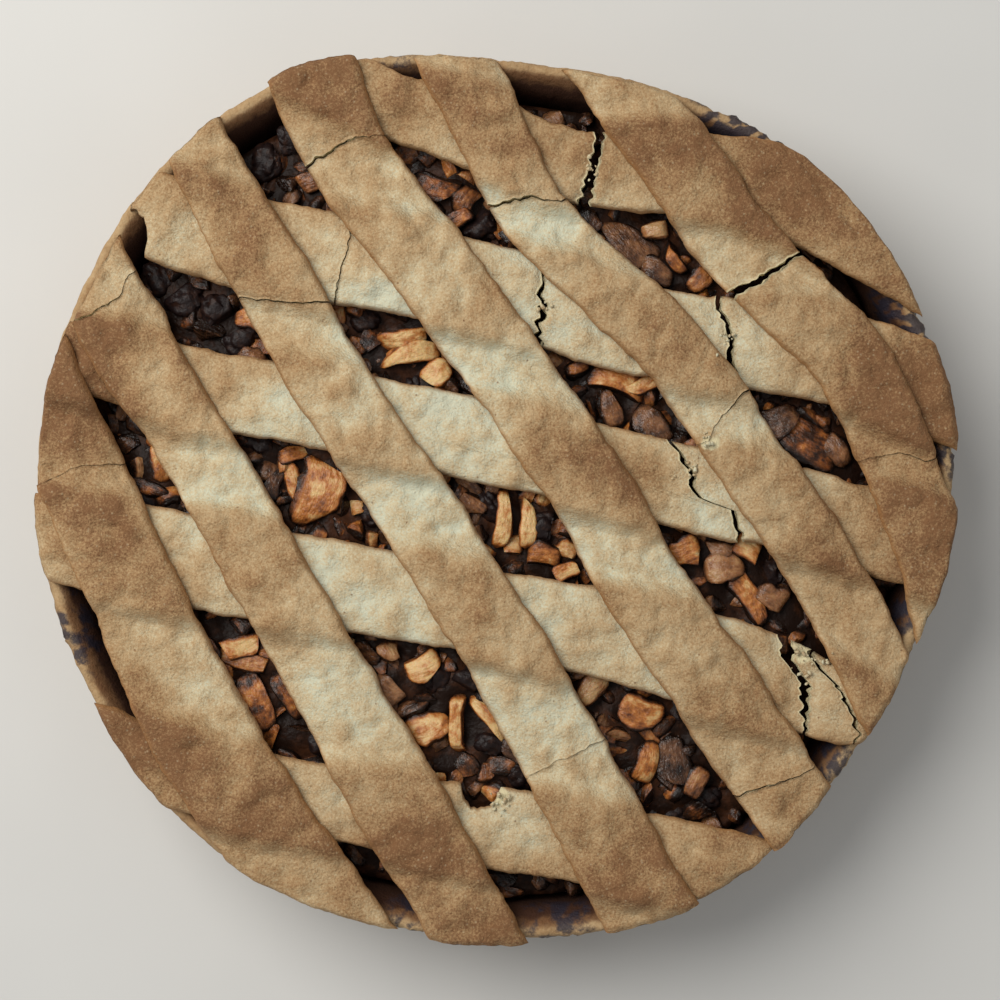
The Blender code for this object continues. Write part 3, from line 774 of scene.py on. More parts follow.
def strip_bodies(strip):
    """The strip's closed bodies, grouped by node: each its two borders, then how open each end is torn."""
    start, end = strip.trimmed(SECTION.across)
    tears = [(True, tear) for tear in BREAKS.get(strip.name, ())]
    tears += [(False, tear) for tear in CRACKS.get(strip.name, ())]
    tears.sort(key=lambda pair: float(np.mean(strip.line_across(pair[1][3], SECTION.across))))
    nodes, bodies = [], []
    border, opened = start, None
    for parts_strip, tear in tears:
        lip, lip_opened = torn_line(strip, tear, -1)
        bodies.append((border, lip, opened, lip_opened))
        border, opened = torn_line(strip, tear, 1)
        if parts_strip:
            nodes.append(bodies)
            bodies = []
    bodies.append((border, end, opened, None))
    return nodes + [bodies]


def end_cap(first_number, ring):
    """What closes a body's end: points between its top and bottom edge, and the grid's point numbers."""
    side_count = SECTION.side_count
    shares = (np.arange(side_count) + 1) / (side_count + 1)
    top, bottom = ring[SECTION.top], ring[SECTION.bottom]
    inner = top[None] + (bottom - top)[None] * shares[:, None, None]
    grid = np.empty((side_count + 2, TOP_COLUMNS), int)
    grid[0] = first_number + SECTION.top
    grid[-1] = first_number + SECTION.bottom
    grid[1:-1, 0] = first_number + SECTION.left
    grid[1:-1, -1] = first_number + SECTION.right
    return inner[:, 1:-1], grid


def body_skin(strip, body, thickness, step):
    """The rings of points along one body of a strip, and their marks."""
    first, last, first_open, last_open = body
    rows = max(4, round(float(np.mean(last - first)) / step))
    along = first + (last - first) * np.linspace(0.0, 1.0, rows)[:, None]
    across = bitten(strip, along, np.broadcast_to(SECTION.across, along.shape))
    x, y = strip.place(along, across)
    seed = STRIP_SEED + len(strip.name) + int(abs(strip.x[0]))
    relief, puffs = dough_relief(x, y, seed)
    crumbly = torn_patches(x, y)
    relief = relief + crumbly * (layered(x, y, 0, PATCH_RAGS) - PATCH_SINK)
    height = thickness * pressed(x, y)
    droop, torn = np.zeros(x.shape), np.zeros(x.shape)
    for opened, away in ((first_open, along - first), (last_open, last - along)):
        away = np.maximum(away, 0.0)
        if opened is None:
            near = np.clip(1 - away / END_REACH_BACK, 0, 1)
            height = height * (1 - END_THINNING * near**3)
            droop = droop + END_DROOP * near**2
        else:
            height = height * (1 - LIP_THINNING * opened * np.exp(-away / LIP_FALL))
            lip_width = LIP_WIDTH + layered(x, y, 0, LIP_WAVES)
            torn = np.maximum(torn, LIP_PALENESS * opened * np.exp(-((away / lip_width) ** 2)))
    z = underside(strip, x, y) + (height + relief * RELIEF_SHARE) * SECTION.upward - droop
    marks = {
        "brown": browning(x, y, puffs, strip, seed),
        "torn": np.maximum(torn, PATCH_PALENESS * crumbly),
        "flank": 1 - smooth_step(0.4, 0.92, np.broadcast_to(SECTION.upward, x.shape)),
    }
    return np.stack((x, y, z), axis=-1), marks


def body_mesh(strip, body, thickness, step, start_number):
    """One closed body of a strip: points, faces and marks."""
    points, marks = body_skin(strip, body, thickness, step)
    rows = len(points)
    all_points = [points.reshape(-1, 3)]
    faces = [tube_faces(rows, SECTION.count, start_number)[:, ::-1]]
    values = {name: [mark.ravel()] for name, mark in marks.items()}
    total = rows * SECTION.count
    for row, beside, opened in ((0, 1, body[2]), (rows - 1, rows - 2, body[3])):
        torn = opened is not None
        inner, grid = end_cap(start_number + row * SECTION.count, points[row])
        outward = (points[row] - points[beside]).mean(axis=0)
        crumb = rough(inner[..., 0], inner[..., 1], inner[..., 2], 1.7, 60 + row % 7)
        inner = inner + outward / np.linalg.norm(outward) * (0.5 if torn else 0.2) * crumb[..., None]
        grid[1:-1, 1:-1] = start_number + total + np.arange(crumb.size).reshape(crumb.shape)
        quads = np.stack((grid[:-1, :-1], grid[:-1, 1:], grid[1:, 1:], grid[1:, :-1]), axis=-1)
        quads = quads.reshape(-1, 4)
        faces.append(quads if row else quads[:, ::-1])
        all_points.append(inner.reshape(-1, 3))
        total += crumb.size
        edge_brown = marks["brown"][row][SECTION.top][1:-1]
        values["brown"].append(np.broadcast_to(edge_brown, crumb.shape).ravel())
        values["torn"].append(np.full(crumb.size, 1.0 if torn else 0.0))
        values["flank"].append(np.full(crumb.size, 0.0 if torn else 1.0))
    merged = {name: np.concatenate(parts) for name, parts in values.items()}
    return np.concatenate(all_points), np.concatenate(faces), merged


def torn_patches(x, y):
    """1 in the crumbly torn places and 0 away from them, with a ragged border."""
    torn = np.zeros(x.shape)
    for middle_x, middle_y, radius in TORN_PATCHES:
        away = np.hypot(x - middle_x, y - middle_y) / radius + layered(x, y, 0, PATCH_BORDER)
        torn = np.maximum(torn, 1.0 - smooth_step(0.6, 1.1, away))
    return torn


def browning(x, y, puffs, strip, seed):
    """How far the oven has browned the dough, from 0, pale, to 1, dark."""
    outward = outward_share(x, y)
    level = BASE_BROWN
    if strip.is_upper:
        level = level + RAISED_BROWN * lower_cover(x, y, RAISED_MARGIN, RAISED_FALL)
        level = level + UPPER_RIM_BROWN * smooth_step(0.45, 1.0, outward)
    else:
        level = level + LOWER_RIM_BROWN * smooth_step(0.5, 0.95, outward)
    for middle_x, middle_y, radius, strength in BAKED_PATCHES:
        away = np.hypot(x - middle_x, y - middle_y) / radius
        level = level + strength * np.exp(-(away**2))
    bump_brown = BUMP_BROWN * (1.0 - 0.6 * smooth_step(0.45, 0.75, level))
    return np.clip(level + layered(x, y, 0, DOUGH_CLOUDS, seed) + bump_brown * puffs, 0.0, 1.0)


def build_strip(strip, thickness, step, paint):
    """All pieces of one strip, one for each of its nodes."""
    nodes = strip_bodies(strip)
    for letter, bodies in zip("abc", nodes):
        node = f"{strip.name}_{letter}" if len(nodes) > 1 else strip.name
        points, faces, marks = [], [], []
        for body in bodies:
            found = body_mesh(strip, body, thickness, step, sum(len(group) for group in points))
            points.append(found[0])
            faces.append(found[1])
            marks.append(found[2])
        merged = {name: np.concatenate([mark[name] for mark in marks]) for name in marks[0]}
        mesh_piece("baked_" + node, np.concatenate(points), faces, paint, merged, [node])


def build_strips(strips, thickness, scene, paint_name):
    paint = dough_paint(paint_name, scene.pie_colours)
    for strip in strips:
        build_strip(strip, thickness / MM, scene.pie_sizes.strip_step / MM, paint)


# The crust shell


def smooth_profile(profile, step):
    """Points along a rounded line through the profile's corners, about a step apart."""
    corners = np.array(profile, float)
    padded = np.vstack((2 * corners[0] - corners[1], corners, 2 * corners[-1] - corners[-2]))
    line = []
    for before, here, there, after in zip(padded, padded[1:], padded[2:], padded[3:]):
        count = max(2, round(float(np.linalg.norm(there - here)) / step))
        t = np.arange(count)[:, None] / count
        lead = (there - before) * PROFILE_TIGHTNESS
        trail = (after - here) * PROFILE_TIGHTNESS
        line.extend(
            (2 * t**3 - 3 * t**2 + 1) * here + (t**3 - 2 * t**2 + t) * lead
            + (3 * t**2 - 2 * t**3) * there + (t**3 - t**2) * trail
        )
    line.append(corners[-1])
    return np.array(line)


# Dark juice that boiled over the rim: angle in degrees, half width in degrees and strength
JUICE_RUNS = (
    (55, 8, 1.4), (22, 8, 1.4), (5, 4, 0.9), (198, 6, 0.9), (259, 4, 0.8), (279, 6, 0.8),
    (307, 4, 0.9), (322, 4, 0.9), (344, 5, 0.9), (103, 3, 0.6),
)


def juice_on_rim(angle, height, x, y):
    """Strength of dried juice at a place on the shell."""
    degrees = np.degrees(angle)
    total = np.zeros(np.shape(angle))
    for middle, half, strength in JUICE_RUNS:
        away = np.abs((degrees - middle + 180) % 360 - 180) / half
        total = np.maximum(total, strength * np.exp(-(away**2)))
    patchy = smooth_step(-0.6, 0.3, layered(x, y, height, JUICE_PATCHES))
    lowest, highest = JUICE_DEPTH
    run_down = smooth_step(RIM_HEIGHT - lowest, RIM_HEIGHT - highest, height)
    return total * patchy * run_down


def closed_stack(rows, columns, points, low_middle, top_middle):
    """Points and faces of a stack of rings that a middle point closes at each end."""
    count = len(points)
    ring = np.arange(columns)
    faces = [
        tube_faces(rows, columns),
        fan_faces(ring, count, False),
        fan_faces(count - columns + ring, count + 1, True),
    ]
    return np.vstack((points, low_middle, top_middle)), faces


def build_shell(step, paint):
    """The deep crust shell: its profile taken round, bulging and pitted, with a ragged rim."""
    columns = int(2 * math.pi * RIM_RADIUS / step)
    angles = np.arange(columns) * 2 * math.pi / columns
    profile = smooth_profile(SHELL_PROFILE, step * SHELL_ROW_SHARE)
    radius = rim_radius(angles)[None] + profile[:, :1]
    x, y = radius * np.cos(angles), radius * np.sin(angles)
    offset, z, angle = np.broadcast_arrays(profile[:, :1], profile[:, 1:], angles)
    pits = PIT_DEPTH * smooth_step(0.45, 0.8, rough(x, y, z, 4.2, 73))
    crust = juice_on_rim(angle, z, x, y) * (0.7 + layered(x, y, z, JUICE_CRUST)) * (offset > -JUICE_REACH)
    radius = radius + (layered(x, y, z, SHELL_BULGE) - pits + crust) * smooth_step(0.5, 6.0, z)
    x, y = radius * np.cos(angles), radius * np.sin(angles)
    lip = smooth_step(RIM_HEIGHT - 5, RIM_HEIGHT, z)
    ragged = layered(x, y, 0, RIM_RAGS)
    z = z + smooth_step(30.0, RIM_HEIGHT, z) * waves(RIM_UNEVEN, angles) + lip * (ragged - RIM_SINK)
    spread = 1 + RIM_SPREAD * lip * ragged
    x, y = x * spread, y * spread
    points = np.stack((x, y, z), axis=-1).reshape(-1, 3)
    points, faces = closed_stack(len(profile), columns, points, (0.0, 0.0, 0.0), (0.0, 0.0, FLOOR))
    inner = 1 - smooth_step(-4.2, -1.6, offset)
    marks = {
        "brown": SHELL_BROWN + layered(x, y, z, SHELL_CLOUDS) - RIM_CRISPNESS * lip * (1 - inner),
        "inner": inner,
        "depth": inner * (1 - smooth_step(RIM_HEIGHT - 7, RIM_HEIGHT - 1, z)),
        "juice": juice_on_rim(angle, z, x, y),
    }
    marks = {name: np.append(mark.ravel(), (MIDDLE_MARK, MIDDLE_MARK)) for name, mark in marks.items()}
    mesh_piece("baked_shell_crust", points, faces, paint, marks, ["crust_shell"])


# The filling


def build_heap_core(step, paint):
    """The dark mass under the pieces, closed down to the shell's floor."""
    columns = int(2 * math.pi * RIM_RADIUS * 0.9 / (step * 1.5))
    angles = np.arange(columns) * 2 * math.pi / columns
    rim = rim_radius(angles)
    rows = [(rim - inward, np.full(columns, height)) for inward, height in CORE_SIDE]
    for share in np.linspace(0.915, 0.02, int(RIM_RADIUS / step)):
        radius = rim * share
        x, y = radius * np.cos(angles), radius * np.sin(angles)
        rows.append((radius, heap_level(x, y) - CORE_BELOW + layered(x, y, 0, CORE_LUMPS)))
    radius = np.array([row[0] for row in rows])
    z = np.array([row[1] for row in rows])
    points = np.stack((radius * np.cos(angles), radius * np.sin(angles), z), axis=-1).reshape(-1, 3)
    low_middle = (0.0, 0.0, CORE_SIDE[0][1])
    points, faces = closed_stack(len(rows), columns, points, low_middle, points[-columns:].mean(axis=0))
    tone = 0.5 + 0.5 * rough(*points.T, 7.0, 83)
    mesh_piece("filling_syrup_core", points, faces, paint, {"tone": tone}, ["filling"])


def lump_mesh(kind, length, width, rng, cuts=None):
    """One piece of filling: its points by ring and side, the place of its grain, and how near an edge."""
    shape = LUMP_KINDS[kind]
    t = np.linspace(-1, 1, shape.rings)[:, None]
    t = np.sign(t) * np.abs(t) ** 0.8
    turn = (np.arange(shape.sides) + 0.5) * 2 * math.pi / shape.sides
    girth = np.clip(1 - np.abs(t) ** shape.end_flatness, 0.02, 1) ** 0.5
    across = np.sign(np.cos(turn)) * np.abs(np.cos(turn)) ** shape.roundness
    up = np.sign(np.sin(turn)) * np.abs(np.sin(turn)) ** shape.roundness
    key = rng.uniform(0, 900)
    uneven = LUMP_UNEVENNESS * rough(t * 2.4 + key, 0.0, 0.0, 1.0, 84)
    narrow = (1 - rng.uniform(*LUMP_TAPER) * t * rng.choice((-1, 1))) * (1 + uneven)
    wedge = 1 - rng.uniform(*SLICE_WEDGE) * across * (kind == "slice")
    bend = rng.uniform(*LUMP_BEND) * length * (1 - t**2)
    arch = rng.uniform(*LUMP_ARCH) * length * (1 - t**2)
    local_x = t * length / 2 + 0 * across
    local_y = across * width / 2 * girth * narrow
    local_z = up * shape.thickness / 2 * girth * wedge
    if kind == "raisin":
        folds = np.abs(rough(local_x * 0.4 + key, local_y, local_z, 3.2, 85))
        creases = np.abs(rough(local_x * 0.6 + key, local_y, local_z, 1.7, 86))
        push = 0.6 - 1.2 * (1 - folds) ** 4 - 0.6 * (1 - creases) ** 4
        push = push + 0.6 * rough(local_x + key, local_y, local_z, 6.0, 87)
    else:
        push = rough(local_x + key, local_y, local_z, 5.0, 85)
        push = push + 0.5 * rough(local_x * 0.3 + key, local_y, local_z, 1.9, 86)
    scale = 1 + shape.wrinkle * push
    stretch = 1 + 0.3 * shape.wrinkle * push
    points = np.stack((local_x * stretch, local_y * scale, local_z * scale), axis=-1)
    for _ in range(shape.cuts if cuts is None else cuts):
        points = sliced_off(points, rng)
    edge = np.maximum(*np.broadcast_arrays(np.abs(t) ** 5, np.abs(across) ** 4))
    grain_place = points + (key, 0.0, 0.0)
    bowed = np.stack(np.broadcast_arrays(0 * local_x, bend, arch), axis=-1)
    return points + bowed, grain_place, edge


def sliced_off(points, rng):
    """Flattens one side of a piece, as a knife leaves it."""
    heading = rng.uniform(0, 2 * math.pi)
    rise = rng.uniform(*CUT_RISE)
    facing = np.array((0.6 * math.cos(heading), math.sin(heading), rise))
    facing /= np.linalg.norm(facing)
    reach = points @ facing
    over = np.clip(reach - rng.uniform(*CUT_PLACE) * reach.max(), 0.0, None)
    return points - CUT_FLATNESS * over[..., None] * facing


def turned(first, second, angle):
    """Two coordinates after a turn in their plane."""
    cos, sin = math.cos(angle), math.sin(angle)
    return first * cos - second * sin, first * sin + second * cos


def laid(points, x, y, heading, tilt, roll, below):
    """A piece turned and set in its place, under the strips' level and clear of the wall, or None."""
    across, side, up = np.moveaxis(points, -1, 0)
    across, up = turned(across, up, tilt)
    side, up = turned(side, up, roll)
    across, side = turned(across, side, heading)
    across, side = across + x, side + y
    inward = rim_radius(np.arctan2(side, across)) - np.hypot(across, side)
    if inward.min() < LUMP_FROM_RIM:
        return None
    lift = (heap_level(across, side) - TOP_CLEARANCE - below - up).min()
    return np.stack((across, side, up + lift), axis=-1)


def heap_darkness(x, y):
    """How much darker than elsewhere the filling is at one place."""
    darkness = 0.0
    for middle_x, middle_y, radius, much in DARK_HEAPS:
        away = math.hypot(x - middle_x, y - middle_y) / radius
        darkness = max(darkness, much * math.exp(-(away**2)))
    return darkness


def scatter_spots(rng, count, spacing, taken):
    """Places in and just beside the windows between strips, each some way from the others."""
    spots = []
    others = list(taken)
    tries = 0
    while len(spots) < count and tries < TRIES_EACH * count:
        tries += 1
        angle = rng.uniform(0, 2 * math.pi)
        radius = (RIM_RADIUS - LUMP_FROM_RIM - 3) * math.sqrt(rng.random())
        x, y = radius * math.cos(angle), radius * math.sin(angle)
        near = (abs(x - ox) < spacing and math.hypot(x - ox, y - oy) < spacing for ox, oy in others)
        if any(near):
            continue
        if min(float(strip.edge_distance(x, y)) for strip in (*LOWER, *UPPER)) < -UNDER_STRIPS:
            continue
        spots.append((x, y))
        others.append((x, y))
    return spots


def with_ends(rings):
    """The values on a tube's rings, then their means on its first and last ring."""
    return np.vstack((rings.reshape(-1, 3), rings[0].mean(axis=0), rings[-1].mean(axis=0)))


class LumpPile:
    """Pieces of one kind gathered into one mesh."""

    def __init__(self):
        self.points, self.faces, self.fans = [], [], []
        self.marks = {"tone": [], "edge": [], "glassy": [], "grain_place": []}
        self.count = 0

    def add(self, points, grain_place, edge, tone, glassy):
        """Adds one piece, with a middle point that closes each of its ends."""
        rings, sides = points.shape[:2]
        last = self.count + rings * sides
        ring = np.arange(sides)
        self.faces.append(tube_faces(rings, sides, self.count))
        self.fans.append(fan_faces(self.count + ring, last, False))
        self.fans.append(fan_faces(last - sides + ring, last + 1, True))
        self.points.append(with_ends(points))
        added = rings * sides + 2
        self.marks["tone"].append(np.full(added, tone))
        self.marks["edge"].append(np.append(edge.ravel(), (1.0, 1.0)))
        self.marks["glassy"].append(np.full(added, glassy))
        self.marks["grain_place"].append(with_ends(grain_place))
        self.count += added

    def merged(self):
        return np.concatenate(self.points), [np.concatenate(self.faces), np.concatenate(self.fans)]

    def finish(self, name, paint):
        marks = {mark: np.concatenate(values) for mark, values in self.marks.items()}
        points, faces = self.merged()
        piece = mesh_piece(name, points, faces, paint, marks, [])
        piece.data.set_sharp_from_angle(angle=CUT_EDGE)


def lay_shown_lumps(piles, rng):
    """The pieces of filling that stand out, in their places. Gives the places that they take up."""
    taken = []
    for kind, x, y, heading, length, width, tone, *clear in SHOWN_LUMPS:
        heading = math.radians(heading)
        points, grain_place, edge = lump_mesh(kind, length, width, rng, SHOWN_CUTS)
        found = laid(points, x, y, heading, rng.uniform(*SHOWN_TILT), rng.uniform(*SHOWN_ROLL), 0.0)
        if found is not None:
            piles[kind].add(found, grain_place, edge, tone, clear[0] if clear else 0.0)
        for share in (-0.3, 0.0, 0.3):
            along = share * length
            taken.append((x + along * math.cos(heading), y + along * math.sin(heading)))
    return taken


def build_lumps(paints):
    """The shown pieces in their places, then two layers of others in the windows."""
    rng = random.Random(23)
    piles = {kind: LumpPile() for kind in LOOSE_KINDS}
    taken = lay_shown_lumps(piles, rng)
    for count, spacing, below, brightness_with_painted_shade in LOOSE_LAYERS:
        spots = scatter_spots(rng, count, spacing, taken)
        taken = []
        for x, y in spots:
            kind = rng.choices(list(LOOSE_KINDS), list(LOOSE_KINDS.values()))[0]
            length = rng.uniform(*LOOSE_LENGTHS[kind])
            width = rng.uniform(*LOOSE_WIDTHS[kind])
            points, grain_place, edge = lump_mesh(kind, length, width, rng)
            heading, tilt = rng.uniform(0, math.pi), rng.uniform(*LOOSE_TILT)
            roll, sink = rng.uniform(*LOOSE_ROLL), rng.uniform(*LOOSE_SINK)
            found = laid(points, x, y, heading, tilt, roll, below + sink)
            # Painted shade: the deeper layer's pieces, and those near the rim, are darkened
            tone = rng.choice(LOOSE_TONES) * brightness_with_painted_shade * (1 - heap_darkness(x, y))
            tone *= 1 - EDGE_SHADE * float(smooth_step(0.7, 0.95, outward_share(x, y)))
            glassy = rng.choice(LOOSE_CLEARNESS)
            if found is not None:
                piles[kind].add(found, grain_place, edge, tone, glassy)
    for kind, pile in piles.items():
        pile.finish(PILE_NAMES[kind], paints["raisin" if kind == "raisin" else "apple"])


# Crumbs


def top_level(x, y, sizes):
    """The level of the uppermost dough at one place, or None over a window."""
    level = None
    here = np.array([x]), np.array([y])
    for strips, thickness in ((LOWER, sizes.lower_thickness / MM), (UPPER, sizes.upper_thickness / MM)):
        for strip in strips:
            if strip.edge_distance(*here)[0] < -CRUMB_INSET:
                level = underside(strip, *here)[0] + thickness * pressed(*here)[0]
    return level


def build_crumbs(sizes, paint):
    """Loose crumbs of dough along the breaks and torn places."""
    rng = random.Random(8)
    pile = LumpPile()
    for middle_x, middle_y, spread, count in CRUMB_SPOTS:
        for _ in range(count):
            x, y = rng.gauss(middle_x, spread / 2), rng.gauss(middle_y, spread / 2)
            level = top_level(x, y, sizes)
            length = rng.uniform(*CRUMB_LENGTH) * rng.uniform(*CRUMB_SHORTENED)
            points, grain_place, edge = lump_mesh("crumb", length, length * rng.uniform(*CRUMB_WIDTH), rng)
            if level is None:
                continue
            across, side = turned(points[..., 0], points[..., 1], rng.uniform(0, 2 * math.pi))
            up = level + CRUMB_LIFT + points[..., 2] * length / CRUMB_FULL_LENGTH
            pile.add(np.stack((x + across, y + side, up), axis=-1), grain_place, edge, 0.0, 0.0)
    points, faces = pile.merged()
    brown = 0.25 + 0.3 * rough(*points.T, 2.5, 95)
    marks = {"brown": brown, "torn": 0.6 - brown, "flank": np.zeros(len(points))}
    mesh_piece("loose_crumbs", points, faces, paint, marks, [])


# Materials

FIBRE_SHARES = (0.35, 1.0, 1.0)


class Wire:
    """One output of a material's node. Arithmetic on it adds the Math nodes that do it."""

    def __init__(self, paint, socket):
        self.paint = paint
        self.socket = socket

    def math(self, operation, *values):
        return self.paint.node("ShaderNodeMath", {"operation": operation}, dict(enumerate(values)))

    def __add__(self, other):
        return self.math("ADD", self, other)

    def __radd__(self, other):
        return self.math("ADD", other, self)

    def __sub__(self, other):
        return self.math("SUBTRACT", self, other)

    def __rsub__(self, other):
        return self.math("SUBTRACT", other, self)

    def __mul__(self, other):
        return self.math("MULTIPLY", self, other)

    def __rmul__(self, other):
        return self.math("MULTIPLY", other, self)

    def between(self, start, end):
        """0 at start and 1 at end, kept between them with an easy curve."""
        inputs = {"Value": self, "From Min": start, "From Max": end}
        return self.paint.node("ShaderNodeMapRange", {"interpolation_type": "SMOOTHSTEP"}, inputs)


class Paint:
    """A material under construction, whose nodes are added by one method."""

    def __init__(self, name):
        self.material = bpy.data.materials.new(name)
        self.material.use_nodes = True
        self.tree = self.material.node_tree
        self.shader = self.tree.nodes["Principled BSDF"]

    def link(self, value, socket):
        if isinstance(value, Wire):
            self.tree.links.new(value.socket, socket)
        elif socket.type == "RGBA":
            socket.default_value = (*value[:3], 1.0)
        else:
            socket.default_value = value

    def node(self, kind, settings=None, inputs=None, output=0):
        """Adds a node with its settings, then its inputs, and gives one of its outputs."""
        made = self.tree.nodes.new(kind)
        for name, value in (settings or {}).items():
            if name == "stops":
                self.set_stops(made.color_ramp, value)
            else:
                setattr(made, name, value)
        for name, value in (inputs or {}).items():
            self.link(value, made.inputs[name])
        return Wire(self, made.outputs[output])

    def set_stops(self, ramp, stops):
        while len(ramp.elements) < len(stops):
            ramp.elements.new(0.5)
        for element, (position, colour) in zip(ramp.elements, stops):
            element.position = position
            element.color = (*colour, 1.0)

    def mark(self, name, output="Fac"):
        """What a piece's points carry under this name."""
        return self.node("ShaderNodeAttribute", {"attribute_name": name}, output=output)

    def noise(self, place, scale, detail, roughness):
        inputs = {"Vector": place, "Scale": scale, "Detail": detail, "Roughness": roughness}
        return self.node("ShaderNodeTexNoise", None, inputs, output="Fac")

    def grain(self, size, detail=3.0, roughness=0.6):
        """Noise whose features are about this size in millimetres."""
        place = self.node("ShaderNodeTexCoord", output="Object")
        return self.noise(place, 1 / (size * MM), detail, roughness)

    def fibres(self, size):
        """Noise drawn out along each piece of filling, in the piece's own directions."""
        inputs = {0: self.mark("grain_place", "Vector"), 1: FIBRE_SHARES}
        drawn = self.node("ShaderNodeVectorMath", {"operation": "MULTIPLY"}, inputs)
        return self.noise(drawn, 1 / size, 3.0, 0.6)

    def cells(self, size):
        """Distance from the middle of the nearest cell, for cells of about this size in millimetres."""
        place = self.node("ShaderNodeTexCoord", output="Object")
        inputs = {"Vector": place, "Scale": 1 / (size * MM)}
        return self.node("ShaderNodeTexVoronoi", None, inputs, output="Distance")

    def ramp(self, value, stops):
        return self.node("ShaderNodeValToRGB", {"stops": stops}, {"Fac": value})

    def blend(self, share, first, second):
        """The first colour where the share is 0 and the second where it is 1."""
        return self.node("ShaderNodeMix", {"data_type": "RGBA"}, {0: share, 6: first, 7: second}, output=2)

    def bump(self, height, distance, strength=1.0, under=None):
        inputs = {"Height": height, "Distance": distance * MM, "Strength": strength}
        if under is not None:
            inputs["Normal"] = under
        return self.node("ShaderNodeBump", None, inputs)

    def finish(self, sockets):
        for name, value in sockets.items():
            self.link(value, self.shader.inputs[name])
        return self.material


def dough_stops(colours):
    """The dough's colours from the palest to the most browned."""
    return (
        (0.0, colours.pale_dough),
        (0.24, colours.cream_dough),
        (0.48, colours.golden_dough),
        (0.75, colours.brown_dough),
        (1.0, colours.dark_dough),
    )


def dough_paint(name, colours):
    """Baked shortcrust: browned in patches and grains, pale where torn, orange-brown on its sides."""
    paint = Paint(name)
    blotch = paint.grain(7.0) - 0.5
    mottle = paint.grain(2.6) - 0.5
    speckle = paint.grain(0.7, roughness=0.75) - 0.5
    level = paint.mark("brown") + 0.16 * blotch + 0.22 * mottle + 1.1 * speckle
    baked = paint.ramp(level, dough_stops(colours))
    side = (paint.mark("flank") + 0.4 * mottle) * 0.7
    baked = paint.blend(side, baked, colours.edge_dough)
    torn = (paint.mark("torn") + 0.5 * speckle).between(0.35, 0.8)
    baked = paint.blend(torn, baked, colours.torn_dough)
    glints = 1 - paint.cells(1.9).between(0.06, 0.24)
    baked = paint.blend(glints * 0.3, baked, colours.cream_dough)
    # Painted shade: dark dots where pinholes are, which the mesh does not have
    pinhole_painted_shade = 1 - paint.cells(5.2).between(0.03, 0.08)
    baked = paint.blend(pinhole_painted_shade * 0.7, baked, colours.dark_dough)
    fine = paint.bump(paint.grain(0.6, roughness=0.65), 0.5, 0.9)
    normal = paint.bump(paint.grain(2.0, detail=1.0, roughness=0.5), 0.6, 0.7, fine)
    sockets = {"Base Color": baked, "Roughness": 0.8, "Specular IOR Level": 0.25, "Normal": normal}
    return paint.finish(sockets)


def shell_paint(colours):
    """The shell's crust: brown outside, redder and moist inside, with dried juice on the rim."""
    paint = Paint("browned_shell_crust")
    blotch = paint.grain(6.0, detail=4.0) - 0.5
    speckle = paint.grain(0.9, roughness=0.7) - 0.5
    level = paint.mark("brown") + 0.3 * blotch + 0.5 * speckle
    baked = paint.ramp(level, dough_stops(colours))
    inside = (paint.mark("inner") + 0.9 * blotch).between(0.1, 0.9)
    baked = paint.blend(inside * 0.8, baked, colours.shell_inside)
    soaked = (paint.mark("depth") + 1.2 * blotch).between(0.1, 0.6)
    baked = paint.blend(soaked, baked, colours.brown_apple)
    juice = (paint.mark("juice") + 0.6 * blotch + 0.8 * speckle).between(0.2, 0.75)
    baked = paint.blend(juice * 0.9, baked, colours.burnt_juice)
    fine = paint.bump(paint.grain(0.6, detail=4.0, roughness=0.65), 0.35, 0.9)
    normal = paint.bump(paint.grain(1.8), 0.6, 0.6, fine)
    rough_level = 0.82 - 0.35 * juice
    sockets = {"Base Color": baked, "Roughness": rough_level, "Specular IOR Level": 0.25, "Normal": normal}
    return paint.finish(sockets)


def apple_paint(colours):
    """Cooked apple: translucent brown to orange and pale, darker along its edges, and moist."""
    paint = Paint("cooked_apple_pieces")
    blotch = paint.grain(5.0) - 0.5
    fibre = paint.fibres(1.2) - 0.5
    mottle = paint.grain(1.7) - 0.5
    edge = (paint.mark("edge") + 0.9 * blotch + 0.5 * mottle).between(0.2, 1.0)
    tone = paint.mark("tone") + 1.5 * blotch + 0.6 * fibre + 0.5 * mottle - 0.65 * edge + 0.1
    stops = (
        (0.0, colours.syrup),
        (0.22, colours.brown_apple),
        (0.42, colours.caramel_apple),
        (0.66, colours.orange_apple),
        (0.95, colours.pale_apple),
    )
    flesh = paint.ramp(tone, stops)
    glassy_stops = ((0.0, colours.syrup), (0.35, colours.glassy_apple), (0.95, colours.cloudy_apple))
    flesh = paint.blend(paint.mark("glassy") * 0.9, flesh, paint.ramp(tone + 0.08, glassy_stops))
    fine = paint.bump(paint.fibres(1.0), 0.6, 0.9)
    normal = paint.bump(paint.grain(1.6), 0.6, 0.7, fine)
    sockets = {
        "Base Color": flesh,
        "Roughness": 0.36 - 0.14 * paint.mark("glassy"),
        "Specular IOR Level": 0.35,
        "Subsurface Weight": 0.3,
        "Subsurface Radius": (1.0, 0.45, 0.2),
        "Subsurface Scale": 1.6 * MM,
        "Normal": normal,
    }
    return paint.finish(sockets)


def raisin_paint(colours):
    """Raisins: nearly black, dull, with a little brown."""
    paint = Paint("dark_raisin_skin")
    mottle = paint.grain(1.8)
    skin = paint.blend(mottle.between(0.45, 0.75) * 0.5, colours.raisin, colours.brown_apple)
    normal = paint.bump(paint.grain(1.1), 0.4, 0.8)
    sockets = {"Base Color": skin, "Roughness": 0.45, "Specular IOR Level": 0.2, "Normal": normal}
    return paint.finish(sockets)


